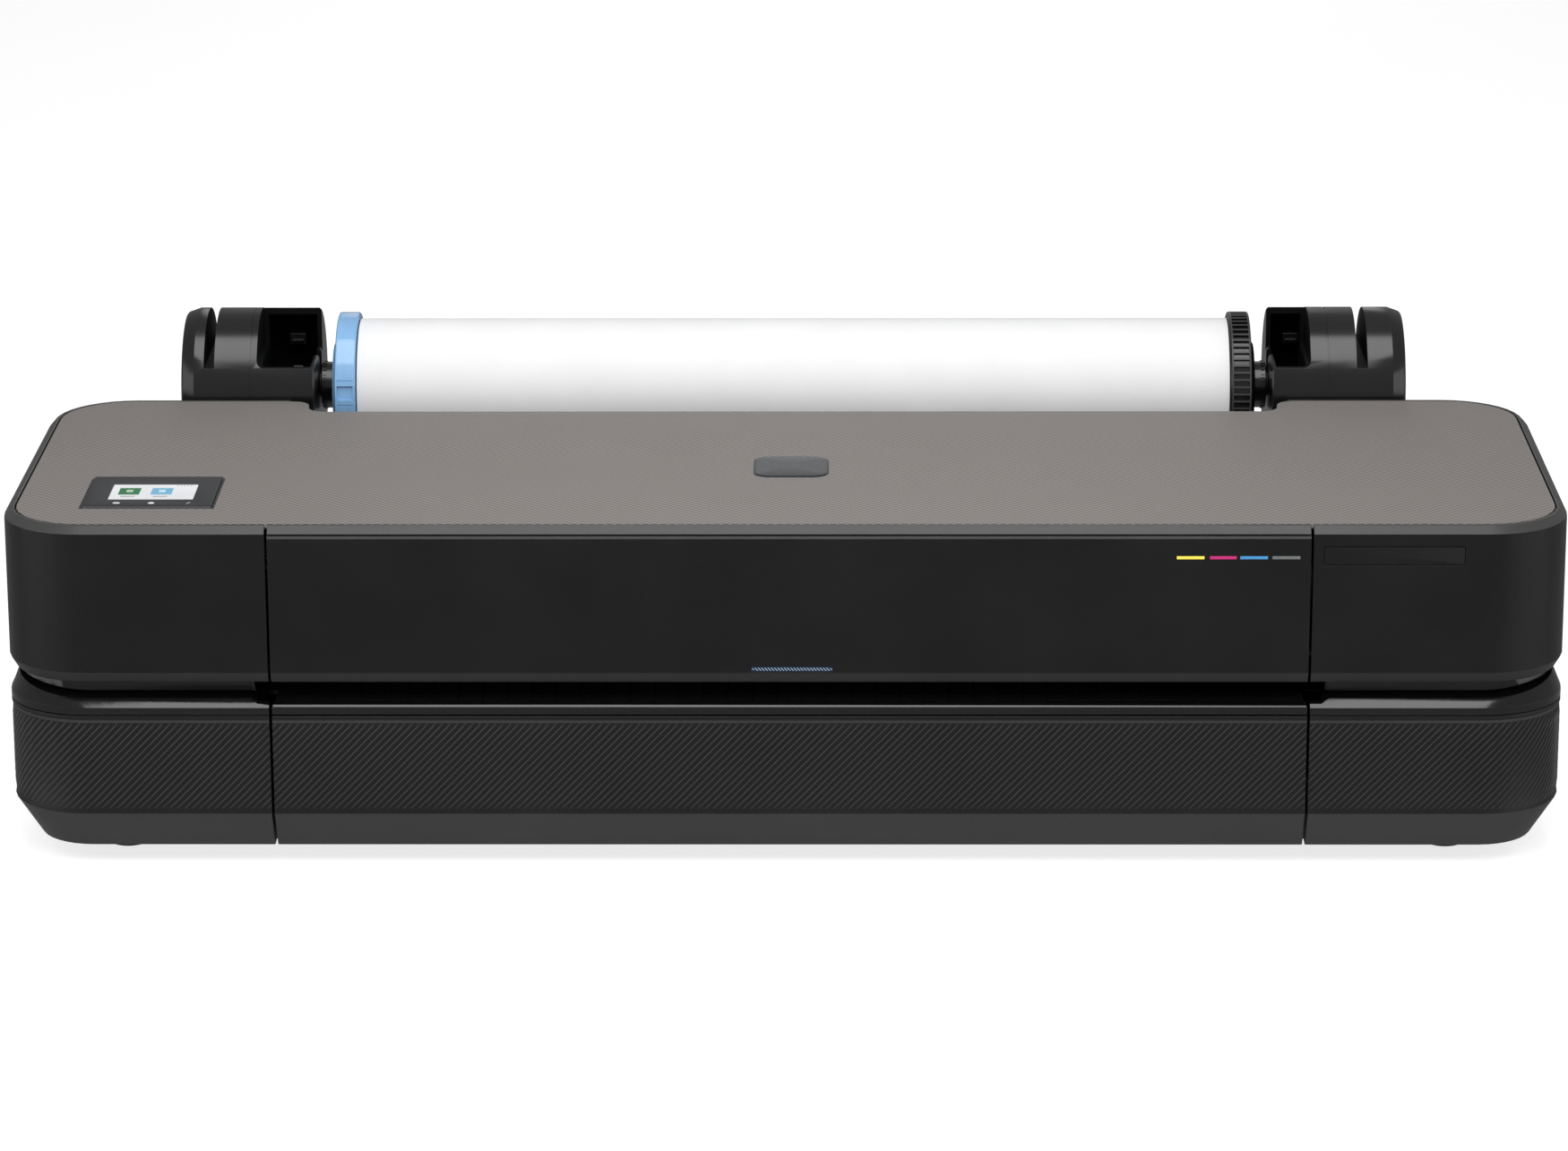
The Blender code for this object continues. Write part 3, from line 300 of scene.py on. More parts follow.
def badge_inlay():
    """Dark satin inlay with fine brushing."""
    finish = Finish("badge_inlay", specular=0.3)
    lines = finish.noise(1800.0, 2.0, finish.stretched(1.0, 0.05, 1.0))
    finish.tint(lines, (0.009, 0.011, 0.015), (0.022, 0.026, 0.033))
    finish.roughness(finish.spread(lines, 0.30, 0.38))
    finish.bump(lines, 0.00001)
    return finish.material


# Moulded plastics: name, dark and light shade, roughness, scale and depth of the grain, specular level.
PLASTICS = (
    ("satin_black", (0.0035, 0.0035, 0.0037), (0.0080, 0.0080, 0.0083), 0.22, 2600.0, 0.000010, 1.0),
    ("fine_black", (0.0042, 0.0042, 0.0044), (0.0100, 0.0100, 0.0103), 0.36, 1500.0, 0.00004, 0.46),
    ("lower_black", (0.0065, 0.0065, 0.0068), (0.0120, 0.0120, 0.0124), 0.42, 2200.0, 0.00003),
    # Painted shade: deep black for the holders' recesses and the vent openings.
    ("painted_shade_black", (0.0020, 0.0020, 0.0022), (0.0042, 0.0042, 0.0045), 0.55, 2200.0, 0.00003, 0.2),
    # Painted light: lighter black for the downward slopes of the upper covers, lit from the floor.
    ("painted_bounce_strip", (0.0180, 0.0180, 0.0184), (0.0260, 0.0260, 0.0265), 0.38, 2200.0, 0.00002),
    # Painted light: lighter black for the downward slopes of the lower covers, lit from the floor.
    ("painted_bounce_black", (0.0280, 0.0280, 0.0285), (0.0390, 0.0390, 0.0396), 0.36, 2200.0, 0.00002),
    # Painted highlight: light grey for the top rim of the upper covers and the black hub's rib tops.
    ("painted_highlight_grey", (0.0460, 0.0455, 0.0450), (0.0600, 0.0595, 0.0590), 0.36, 2200.0, 0.00002),
    # Painted highlight: ribs lighter than the band they stand on.
    ("painted_highlight_rib_black", (0.0300, 0.0300, 0.0305), (0.0430, 0.0430, 0.0436), 0.32, 2200.0, 0.00002, 0.8),
    ("panel_grey", (0.022, 0.023, 0.026), (0.031, 0.032, 0.036), 0.34, 2600.0, 0.00002),
    ("natural_plastic", (0.60, 0.585, 0.54), (0.70, 0.685, 0.64), 0.40, 1800.0, 0.00002),
    ("gear_grey", (0.030, 0.030, 0.031), (0.045, 0.045, 0.046), 0.42, 1800.0, 0.00002),
    ("print_yellow", (0.78, 0.66, 0.05), (0.88, 0.76, 0.09), 0.42, 2400.0, 0.00001),
    ("print_magenta", (0.50, 0.010, 0.14), (0.60, 0.016, 0.18), 0.42, 2400.0, 0.00001),
    ("print_blue", (0.045, 0.24, 0.50), (0.060, 0.29, 0.58), 0.42, 2400.0, 0.00001),
    ("print_grey", (0.13, 0.135, 0.14), (0.17, 0.175, 0.18), 0.42, 2400.0, 0.00001),
)

# Lit and printed marks on the displays: name, dark and light shade, strength of the glow.
LIGHTS = (
    ("tile_green", (0.004, 0.13, 0.035), (0.008, 0.17, 0.050), 1.0),
    ("tile_blue", (0.13, 0.38, 0.56), (0.17, 0.44, 0.62), 1.0),
    ("mark_white", (0.80, 0.80, 0.80), (0.95, 0.95, 0.95), 1.0),
    ("mark_grey", (0.16, 0.17, 0.18), (0.24, 0.25, 0.26), 1.0),
    ("light_dash", (0.42, 0.64, 0.92), (0.54, 0.75, 1.00), 0.6),
    ("light_tray", (0.003, 0.010, 0.030), (0.006, 0.018, 0.050), 1.0),
)

LOOK = {
    "gloss_black": gloss_black(),
    "woven_cover": woven_cover(),
    "lit_screen": lit_screen(),
    "blue": glossy_blue(),
    "paper": paper(),
    "ground_steel": brushed_steel(),
    "sheet_steel": sheet_steel(),
    "rubber": rubber(),
    "badge": badge_inlay(),
}
for row in PLASTICS:
    LOOK[row[0]] = moulded(*row)
for row in LIGHTS:
    LOOK[row[0]] = glowing(*row)


# ---- Modelling helpers ---------------------------------------------------------------------
def place(name, mesh, look, body, slot):
    """Put a finished mesh in the scene with its material, on the body that carries it."""
    mesh.materials.clear()
    mesh.materials.append(LOOK[look])
    piece = bpy.data.objects.new(name, mesh)
    bpy.context.scene.collection.objects.link(piece)
    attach(piece, body)
    return piece


def mesh_from(name, shape, smooth_angle=35.0):
    """Turn a bmesh into a mesh whose edges are sharp above an angle in degrees."""
    bmesh.ops.recalc_face_normals(shape, faces=shape.faces)
    mesh = bpy.data.meshes.new(name)
    shape.to_mesh(mesh)
    shape.free()
    mesh.shade_smooth()
    mesh.set_sharp_from_angle(angle=math.radians(smooth_angle))
    return mesh


def piece_from(name, shape, look, body, slot, smooth_angle=35.0):
    """Turn a bmesh into a piece of its own, whose edges are sharp above an angle in degrees."""
    return place(name, mesh_from(name, shape, smooth_angle), look, body, slot)


def skin(shape, rings, ends=True):
    """Join rings of vertices with faces, one ring to the next, and close both ends."""
    for near, far in zip(rings, rings[1:]):
        for index in range(len(near)):
            after = (index + 1) % len(near)
            shape.faces.new((near[index], near[after], far[after], far[index]))
    if ends:
        shape.faces.new(rings[0])
        shape.faces.new(rings[-1])


def rounded(piece, width):
    """Round the sharp edges of a piece."""
    modifier = piece.modifiers.new("edges", "BEVEL")
    modifier.width = width
    modifier.segments = 2
    modifier.limit_method = "ANGLE"
    modifier.angle_limit = math.radians(28.0)
    modifier.harden_normals = True


def node_mesh(node):
    """A clean copy of a CAD node's mesh: welded, with flat areas as single faces."""
    weld = 1e-5
    flat = math.radians(0.6)
    shape = bmesh.new()
    shape.from_mesh(frame["nodes"][node].data)
    bmesh.ops.remove_doubles(shape, verts=shape.verts, dist=weld)
    bmesh.ops.dissolve_limit(shape, angle_limit=flat, verts=shape.verts, edges=shape.edges)
    return mesh_from(f"{node}_form", shape)


def slot_of(node):
    """The material slot that the record gives a node."""
    return next(part["material_slot"] for part in frame["record"]["subparts"] if part["node"] == node)


def dress(node, look, edge):
    """Stand a piece with rounded edges and a finish in for a CAD node."""
    piece = place(f"{node}_shell", node_mesh(node), look, frame["nodes"][node]["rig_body"], slot_of(node))
    rounded(piece, edge)
    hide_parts(node)
    return piece


def bar(shape, low, high):
    """Add a box between two corners to a bmesh."""
    low = Vector(low)
    high = Vector(high)
    size = Matrix.Diagonal((*(high - low), 1.0))
    bmesh.ops.create_cube(shape, size=1.0, matrix=Matrix.Translation((low + high) / 2) @ size)


def box_mesh(name, low, high):
    """A plain box between two corners."""
    shape = bmesh.new()
    bar(shape, low, high)
    return mesh_from(name, shape)


def carve(piece, low, high):
    """Sink a square pocket into a piece, before its edges are rounded."""
    cutter = bpy.data.objects.new("cutter", box_mesh("cutter", low, high))
    bpy.context.scene.collection.objects.link(cutter)
    modifier = piece.modifiers.new("pocket", "BOOLEAN")
    modifier.object = cutter
    modifier.solver = "EXACT"
    piece.modifiers.move(len(piece.modifiers) - 1, 0)
    bpy.context.view_layer.update()
    with bpy.context.temp_override(object=piece):
        bpy.ops.object.modifier_apply(modifier=modifier.name)
    bpy.data.objects.remove(cutter, do_unlink=True)


# ---- Shells over the frame -----------------------------------------------------------------
LOWER_COVERS = ("lower_front_panel", "lower_left_cover", "lower_right_cover", "rear_cover", "power_inlet")
UPPER_COVERS = ("upper_left_corner_cover", "upper_right_corner_cover", "upper_left_side_cover",
                "upper_right_side_cover", "window_rail", "front_window")
HOLDERS = ("left_roll_holder", "right_roll_holder")

# Finish, radius of the rounded edges, nodes.
SHELLS = (
    ("lower_black", 0.0006, LOWER_COVERS),
    ("fine_black", 0.0005, UPPER_COVERS),
    ("gloss_black", 0.0010, ("left_ledge", "middle_ledge", "right_ledge")),
    ("woven_cover", 0.0005, ("top_cover",)),
    ("panel_grey", 0.0004, ("panel_tray",)),
    ("satin_black", 0.0008, (*HOLDERS, "spindle_shaft")),
    ("satin_black", 0.0005, ("platen", "rear_paper_guide", "carriage", "ink_bay")),
    ("paper", 0.0003, ("paper_roll",)),
    ("rubber", 0.0006, ("foot_front_left", "foot_front_right", "foot_rear_left", "foot_rear_right")),
    ("rubber", 0.0003, ("feed_roller", "pinch_roller_1", "pinch_roller_2", "pinch_roller_3",
                        "pinch_roller_4", "carriage_belt")),
    ("ground_steel", 0.0003, ("carriage_rod", "drive_pulley", "idler_pulley")),
    ("sheet_steel", 0.0004, ("base_pan", "chassis_beam", "pinch_frame", "feed_motor", "carriage_motor",
                             "power_supply", "print_head")),
    ("natural_plastic", 0.0002, ("feed_gear", "feed_pinion", "service_station")),
    ("gear_grey", 0.0002, ("roll_drive_gear", "spindle_gear", "spindle_bush_left", "spindle_bush_right")),
    ("print_yellow", 0.0008, ("ink_cartridge_yellow",)),
    ("print_magenta", 0.0008, ("ink_cartridge_magenta",)),
    ("print_blue", 0.0008, ("ink_cartridge_blue",)),
    ("print_grey", 0.0008, ("ink_cartridge_grey",)),
)

shells = {}
for look, edge, nodes in SHELLS:
    for node in nodes:
        shells[node] = dress(node, look, edge)


def paint_light_on_faces(nodes, look, wanted):
    """Give the faces of some shells that look the wanted way another material, whose lighter colour paints in
    the light that falls on them.
    """
    for node in nodes:
        mesh = shells[node].data
        mesh.materials.append(LOOK[look])
        for face in mesh.polygons:
            if wanted(face.normal):
                face.material_index = len(mesh.materials) - 1


# Downward slopes at the foot of the lower covers are painted lighter and a little smoother, and those at the
# foot of the upper covers are painted lighter too: painted light bounced up from the floor. Faces of the
# upper covers that look up, the rim round the top, are painted light grey as a painted highlight.
paint_light_on_faces(LOWER_COVERS, "painted_bounce_black", lambda normal: normal.z < -0.3)
paint_light_on_faces(UPPER_COVERS, "painted_bounce_strip", lambda normal: -0.9 < normal.z < -0.3)
paint_light_on_faces(UPPER_COVERS, "painted_highlight_grey", lambda normal: normal.z > 0.3)


# ---- Ribs on the lower covers --------------------------------------------------------------
RIB_LOW = 0.0452
RIB_HIGH = 0.1034
RIB_PITCH = 0.0049
RIB_LEAN = 0.966              # sideways run for each metre of rise
RIB_HEIGHT = 0.0006           # above the band that the ribs stand on
BAND_DEPTH = 0.0007           # how far the band lies behind the plain edges of the cover
RIB_SINK = 0.0005             # how far a rib's foot reaches into the band
RIB_SECTION = ((-0.0010, False), (-0.0007, True), (-0.0002, True), (0.0012, False))
RIB_STEPS = 9
RIB_OVERRUN = 0.003           # ribs start this far past a seam, and are cut back to it
FRONT_SEAM = 0.335
SEAM = 0.0016
REAR_RUN = HALF_WIDTH - CORNER_RADIUS - REAR_SEAM
SIDE_RUN = BACK - FRONT - 2 * CORNER_RADIUS
FRONT_RUN = 2 * (HALF_WIDTH - CORNER_RADIUS)


def edge_station(distance):
    """Point and heading on the body's outline, at a distance along it from the left rear seam."""
    turn = CORNER_RADIUS * math.pi / 2
    point = Vector((-REAR_SEAM, BACK))
    heading = math.pi
    for run in (REAR_RUN, SIDE_RUN, FRONT_RUN, SIDE_RUN):
        ahead = Vector((math.cos(heading), math.sin(heading)))
        if distance <= run:
            return point + ahead * distance, heading
        distance -= run
        point += ahead * run
        centre = point + Vector((-ahead.y, ahead.x)) * CORNER_RADIUS
        share = min(distance / turn, 1.0)
        heading += share * math.pi / 2
        point = centre + Vector((math.sin(heading), -math.cos(heading))) * CORNER_RADIUS
        if share < 1.0:
            return point, heading
        distance -= turn
    return point + Vector((math.cos(heading), math.sin(heading))) * distance, heading


def rib_point(distance, z, height):
    """A point on the outline at a height above the band."""
    point, heading = edge_station(distance)
    outward = Vector((math.sin(heading), -math.cos(heading))) * (height - BAND_DEPTH)
    return point.x + outward.x, point.y + outward.y, z


def add_rib(shape, start):
    """One leaning rib from the bottom to the top of the band, low at both ends."""
    rows = []
    for step in range(RIB_STEPS + 1):
        share = step / RIB_STEPS
        rise = share * (RIB_HIGH - RIB_LOW)
        height = RIB_HEIGHT * min(1.0, share / 0.12 + 0.05, (1.0 - share) / 0.10 + 0.05)
        middle = start + rise * RIB_LEAN
        row = []
        for offset, raised in RIB_SECTION:
            lift = height if raised else -RIB_SINK
            row.append(shape.verts.new(rib_point(middle + offset, RIB_LOW + rise, lift)))
        rows.append(row)
    skin(shape, rows)


def trim(shape, x, keep, rear):
    """Cut the ribs at a seam on the front or the rear; keep is the side that stays, -1 or 1."""
    middle = (FRONT + BACK) / 2
    faces = [face for face in shape.faces if (face.calc_center_median().y > middle) == rear]
    edges = list({edge for face in faces for edge in face.edges})
    verts = list({vert for face in faces for vert in face.verts})
    result = bmesh.ops.bisect_plane(shape, geom=faces + edges + verts, plane_co=(x, 0, 0),
                                    plane_no=(-keep, 0, 0), clear_outer=True)
    rim = [item for item in result["geom_cut"] if isinstance(item, bmesh.types.BMEdge)]
    bmesh.ops.holes_fill(shape, edges=rim)


def ribbed_band(name, node, first, last, cuts):
    """The ribs on one cover, whose starts lie between two distances along the outline; they are coloured
    lighter than the band as a painted highlight on their edges.
    """
    shape = bmesh.new()
    for index in range(math.ceil(first / RIB_PITCH), math.floor(last / RIB_PITCH) + 1):
        add_rib(shape, index * RIB_PITCH)
    for x, keep, rear in cuts:
        trim(shape, x, keep, rear)
    piece_from(name, shape, "painted_highlight_rib_black", "root", slot_of(node), 50.0)


def ribs():
    """The leaning ribs on the three lower covers, one cover after another along the outline."""
    lean = (RIB_HIGH - RIB_LOW) * RIB_LEAN
    to_front = REAR_RUN + SIDE_RUN + math.pi * CORNER_RADIUS
    left_seam = to_front + SHIFT - FRONT_SEAM + HALF_WIDTH - CORNER_RADIUS
    right_seam = left_seam + 2 * FRONT_SEAM
    whole = 2 * to_front + FRONT_RUN
    left_x = SHIFT - FRONT_SEAM
    right_x = SHIFT + FRONT_SEAM
    half = SEAM * 0.6
    ribbed_band("left_ribs", "lower_left_cover", -lean, left_seam + RIB_OVERRUN,
                [(-REAR_SEAM - half, -1, True), (left_x - half, -1, False)])
    ribbed_band("front_ribs", "lower_front_panel", left_seam - lean - RIB_OVERRUN, right_seam + RIB_OVERRUN,
                [(left_x + half, 1, False), (right_x - half, -1, False)])
    ribbed_band("right_ribs", "lower_right_cover", right_seam - lean - RIB_OVERRUN, whole,
                [(right_x + half, 1, False), (REAR_SEAM + half, 1, True)])


ribs()


# ---- Marks on the front --------------------------------------------------------------------
def flat_outline(half_x, half_y, radius, steps=6):
    """A rectangle with round corners, anticlockwise round the origin."""
    points = []
    for quarter, (side_x, side_y) in enumerate(((1, 1), (-1, 1), (-1, -1), (1, -1))):
        for step in range(steps + 1):
            angle = math.radians(90 * (quarter + step / steps))
            points.append((side_x * (half_x - radius) + radius * math.cos(angle),
                           side_y * (half_y - radius) + radius * math.sin(angle)))
    return points


def tablet(name, centre, half_x, half_y, radius, base, levels, look, body, slot, upright=False):
    """A flat tablet with round corners, built in rings; levels are (inset, height above its base).

    It lies on a plane at height base, or stands on the front at depth base and faces -Y.
    """
    shape = bmesh.new()
    rings = []
    for inset, height in levels:
        ring = []
        for x, y in flat_outline(half_x - inset, half_y - inset, max(radius - inset, 0.0001)):
            point = (centre[0] + x, centre[1] + y, base + height)
            if upright:
                point = (centre[0] + x, base - height, centre[1] + y)
            ring.append(shape.verts.new(point))
        rings.append(ring)
    skin(shape, rings)
    return piece_from(name, shape, look, body, slot)


def colour_marks():
    """Four thin printed bars in the ink colours, on the right of the window."""
    centre_z = 0.2150
    half_z = 0.0010
    corner = 0.0002
    behind = FRONT + 0.0004
    levels = ((0.0, 0.0), (0.0, 0.0005), (0.0001, 0.0006))
    bars = (("yellow", 0.2513, 0.2690), ("magenta", 0.2725, 0.2896),
            ("blue", 0.2919, 0.3096), ("grey", 0.3125, 0.3303))
    for label, start, end in bars:
        tablet(f"{label}_mark", ((start + end) / 2, centre_z), (end - start) / 2, half_z, corner, behind,
               levels, f"print_{label}", "window", f"ink_{label}", True)


def name_plate():
    """A blank plate in a shallow recess on the right corner cover."""
    low_x, high_x, low_z, high_z = 0.3455, 0.4357, 0.2097, 0.2223
    gap = 0.0004
    depth = 0.0008
    corner = 0.0004
    centre = ((low_x + high_x) / 2, (low_z + high_z) / 2)
    levels = ((0.0, 0.0), (0.0, depth - 0.0003), (0.0003, depth - 0.0001))
    carve(shells["upper_right_corner_cover"], (low_x, FRONT - 0.01, low_z), (high_x, FRONT + depth, high_z))
    tablet("blank_name_plate", centre, (high_x - low_x) / 2 - gap, (high_z - low_z) / 2 - gap, corner,
           FRONT + depth, levels, "fine_black", "root", "black_fine", True)


def light_tray(low_x, high_x, centre_z):
    """The dark blue window that the light dashes shine through."""
    half_z = 0.0014
    corner = 0.0006
    levels = ((0.0, 0.0), (0.0, 0.0007), (0.0003, 0.0009))
    tray = tablet("status_light_tray", ((low_x + high_x) / 2, centre_z), (high_x - low_x) / 2, half_z, corner,
                  FRONT + 0.0012, levels, "light_tray", "window", "light_bar", True)
    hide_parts("status_light_bar")


def light_dashes(low_x, high_x, centre_z):
    """A row of slanted dashes, of which the first and the last are shorter."""
    count = 25
    half_height = 0.0010
    half_width = 0.00030
    slant = 0.0009
    short = 0.45
    pitch = (high_x - low_x) / (count - 1)
    corners = ((-half_width, 1), (half_width, 1), (half_width, -1), (-half_width, -1))
    shape = bmesh.new()
    for index in range(count):
        x = low_x + index * pitch
        size = short if index in (0, count - 1) else 1.0
        rings = [[shape.verts.new((x + offset - up * slant * size, depth, centre_z + up * half_height * size))
                  for offset, up in corners] for depth in (FRONT + 0.0001, FRONT + 0.0005)]
        skin(shape, rings)
    piece_from("status_light_dashes", shape, "light_dash", "window", "light_bar")


def status_light():
    """Light dashes in a dark blue window, low on the front window."""
    centre_z = 0.1402
    light_tray(-0.0214, 0.0314, centre_z)
    light_dashes(-0.0200, 0.0302, centre_z)


def badge():
    """A plain round-cornered inlay with a low crown, in the middle of the top cover."""
    centre = (0.0035, -0.0733)
    half_x, half_y, radius = 0.0250, 0.0262, 0.0110
    sink = 0.0010
    lip = 0.0006
    edge = sink + 0.0004
    crown = 0.0008
    dome = 0.021
    steps = 8
    levels = [(0.0, 0.0), (0.0, sink), (lip, edge)]
    for step in range(1, steps + 1):
        share = step / steps
        levels.append((lip + dome * share, edge + crown * (1 - (1 - share) ** 2)))
    tablet("plain_badge", centre, half_x, half_y, radius, COVER_TOP - sink, levels,
           "badge", "root", "cover_grey")


colour_marks()
name_plate()
status_light()
badge()


# ---- Control panel -------------------------------------------------------------------------
PANEL_LEFT = -0.4552
PANEL_RIGHT = -0.3715
PANEL_BACK = -0.0993
PANEL_CORNER = 0.0050
SCREEN_TOP = 0.2361
MARK_HEIGHT = 0.00012


def round_corners(piece, corners, reach, radius):
    """Round the upright edges that lie within a reach of some corners, seen from above."""
    upright_within = 0.0001
    shape = bmesh.new()
    shape.from_mesh(piece.data)
    edges = []
    for edge in shape.edges:
        low, high = (vert.co for vert in edge.verts)
        upright = (low.xy - high.xy).length < upright_within
        if upright and any((low.xy - Vector(corner)).length < reach for corner in corners):
            edges.append(edge)
    bmesh.ops.bevel(shape, geom=edges, offset=radius, segments=7, profile=0.5, affect="EDGES")
    shape.to_mesh(piece.data)
    shape.free()
    piece.data.set_sharp_from_angle(angle=math.radians(35.0))


def printed(name, outline, look):
    """A flat mark on the panel, raised by the thickness of its print."""
    levels = (SCREEN_TOP, SCREEN_TOP + MARK_HEIGHT)
    shape = bmesh.new()
    skin(shape, [[shape.verts.new((x, y, z)) for x, y in outline] for z in levels])
    piece_from(name, shape, look, "panel", slot_of("touch_screen"))


def moved(outline, x, y):
    """An outline shifted along both axes."""
    return [(x + along, y + across) for along, across in outline]


def panel_and_screen():
    """The tilting panel with round rear corners, and its lit screen."""
    rear = [(PANEL_LEFT, PANEL_BACK), (PANEL_RIGHT, PANEL_BACK)]
    panel = dress("control_panel", "panel_grey", 0.0006)
    round_corners(panel, rear, 0.0008, PANEL_CORNER)
    round_corners(shells["panel_tray"], rear, 0.0030, PANEL_CORNER + 0.0010)
    round_corners(shells["top_cover"], rear, 0.0045, PANEL_CORNER + 0.0020)
    dress("touch_screen", "lit_screen", 0.0002)


def screen_marks():
    """Two tiles with a sign on each and a bar below it, and a row of small points at the top right."""
    tile = flat_outline(0.0069, 0.0078, 0.0006)
    caption = flat_outline(0.0047, 0.0006, 0.0002, 2)
    sign = flat_outline(0.0022, 0.0030, 0.0008, 3)
    for label, x, look in (("green_tile", -0.4285, "tile_green"), ("blue_tile", -0.4073, "tile_blue")):
        printed(label, moved(tile, x, -0.1366), look)
        printed(f"{label}_bar", moved(caption, x, -0.1490), "mark_grey")
        printed(f"{label}_sign", moved(sign, x, -0.1360), "mark_white")
    point = flat_outline(0.0006, 0.0005, 0.0003, 3)
    pitch = 0.0022
    for index in range(5):
        printed(f"status_point_{index}", moved(point, -0.3985 + index * pitch, -0.1223), "mark_grey")


def panel_icons():
    """Three white touch marks in front of the screen: a ring, a roof and a slash."""
    y = -0.1650
    steps = 24
    inner = 0.55
    ring = []
    for step in range(steps):
        angle = 2 * math.pi * step / steps
        ring.append((0.0024 * math.cos(angle), 0.0017 * math.sin(angle)))
    hole = [(inner * along, inner * across) for along, across in ring]
    printed("touch_ring", moved(ring, -0.4339, y), "mark_white")
    printed("touch_ring_middle", moved(hole, -0.4339, y), "panel_grey")
    roof = [(-0.0026, 0.0000), (-0.0017, 0.0000), (-0.0017, -0.0018), (0.0017, -0.0018), (0.0017, 0.0000),
            (0.0026, 0.0000), (0.0000, 0.0022)]
    printed("touch_roof", moved(roof, -0.4112, y), "mark_white")
    slash = [(-0.0015, -0.0015), (-0.0009, -0.0015), (0.0015, 0.0015), (0.0009, 0.0015)]
    printed("touch_slash", moved(slash, -0.3872, y), "mark_white")


panel_and_screen()
screen_marks()
panel_icons()


# ---- Roll hubs and holders -----------------------------------------------------------------
HOLDER_RADIUS = 0.0545
HUB_BORE = 0.0093
PLUG_RADIUS = 0.0251
PLUG_DEPTH = 0.0300
FLANGE = 0.0145
BOSS = 0.0035
CREST_DEPTH = 0.0004
SIDES = ((-1, "left"), (1, "right"))


def roll_point(side, along, radius, turn):
    """A point round the roll's axis: along from its middle, and turned up from the front."""
    return (SHIFT + side * along, ROLL_Y - radius * math.cos(turn), ROLL_Z + radius * math.sin(turn))


def from_axis(face):
    """The distance of a face's middle from the roll's axis."""
    return math.hypot(face.center.y - ROLL_Y, face.center.z - ROLL_Z)


def hub(name, node, look, side, dents, crest=None):
    """A roll hub; dents are (angle above the front in degrees, depth of the band in its rim).

    The crest is the material of what stands out furthest, where it differs from the rest; a lighter crest is
    a painted highlight on the rib tops.
    """
    face = ROLL_HALF
    rim = face + FLANGE
    back = rim + BOSS
    outer = HUB_RADIUS
    shape = bmesh.new()
    rings = []
    for angle, depth in dents:
        dented = outer - depth
        section = (
            (HUB_BORE, back), (0.0290, back), (0.0302, back - 0.0010), (0.0340, rim - 0.0012),
            (0.0352, rim - 0.0018), (0.0440, rim - 0.0018), (0.0450, rim), (outer - 0.0012, rim),
            (outer - 0.0003, rim - 0.0004), (outer, rim - 0.0012), (outer, rim - 0.0016),
            (dented, rim - 0.0019), (dented, face + 0.0021), (outer, face + 0.0018), (outer, face + 0.0008),
            (outer - 0.0008, face), (PLUG_RADIUS, face), (PLUG_RADIUS, face - PLUG_DEPTH),
            (HUB_BORE, face - PLUG_DEPTH),
        )
        turn = math.radians(angle)
        rings.append([shape.verts.new(roll_point(side, along, radius, turn)) for radius, along in section])
    skin(shape, rings + rings[:1], ends=False)
    piece = piece_from(name, shape, look, "spindle", slot_of(node))
    if crest:
        piece.data.materials.append(LOOK[crest])
        for polygon in piece.data.polygons:
            if from_axis(polygon) > outer - CREST_DEPTH:
                polygon.material_index = 1
    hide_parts(node)


def black_rim():
    """Sixty-four finger ribs with recesses between them."""
    count = 64
    depth = 0.0018
    rib = ((0.00, 0.0), (0.27, 0.0), (0.35, depth), (0.92, depth))
    return [((index + share) * 360 / count, dent) for index in range(count) for share, dent in rib]


def blue_rim():
    """A smooth rim with a latch pocket at the front and a groove above and below it."""
    groove = 0.0006
    pocket = 0.0020
    marks = [(-2.6, 0.0), (-2.5, groove), (-1.7, groove), (-1.6, 0.0),
             (1.9, 0.0), (2.1, pocket), (12.8, pocket), (13.0, 0.0),
             (16.6, 0.0), (16.7, groove), (17.5, groove), (17.6, 0.0)]
    smooth = [(angle, 0.0) for angle in range(20, 357, 3)]
    return marks + smooth


def painted_shade_insides():
    """The slot and the cut-out in each holder are painted deep black and unpolished, as painted shade in
    these recesses.
    """
    skin_depth = 0.0015
    cradle_start = 0.3345
    slot_end = 0.4200
    for node in HOLDERS:
        mesh = shells[node].data
        mesh.materials.append(LOOK["painted_shade_black"])
        for face in mesh.polygons:
            inside = from_axis(face) < HOLDER_RADIUS - skin_depth
            if inside and cradle_start < abs(face.center.x - SHIFT) < slot_end:
                face.material_index = 1


def collar_teeth():
    """A ring of small teeth round the outer end of each collar on the spindle."""
    count = 26
    base = 0.0160
    tip = 0.0169
    near, far = 0.3282, 0.3306
    half_turn = math.radians(3.6)
    corners = ((base, -half_turn), (tip, -half_turn), (tip, half_turn), (base, half_turn))
    for side, label in SIDES:
        shape = bmesh.new()
        for index in range(count):
            middle = 2 * math.pi * index / count
            skin(shape, [[shape.verts.new(roll_point(side, along, radius, middle + turn))
                          for radius, turn in corners] for along in (near, far)])
        piece_from(f"{label}_collar_teeth", shape, "satin_black", "spindle", slot_of("spindle_shaft"))


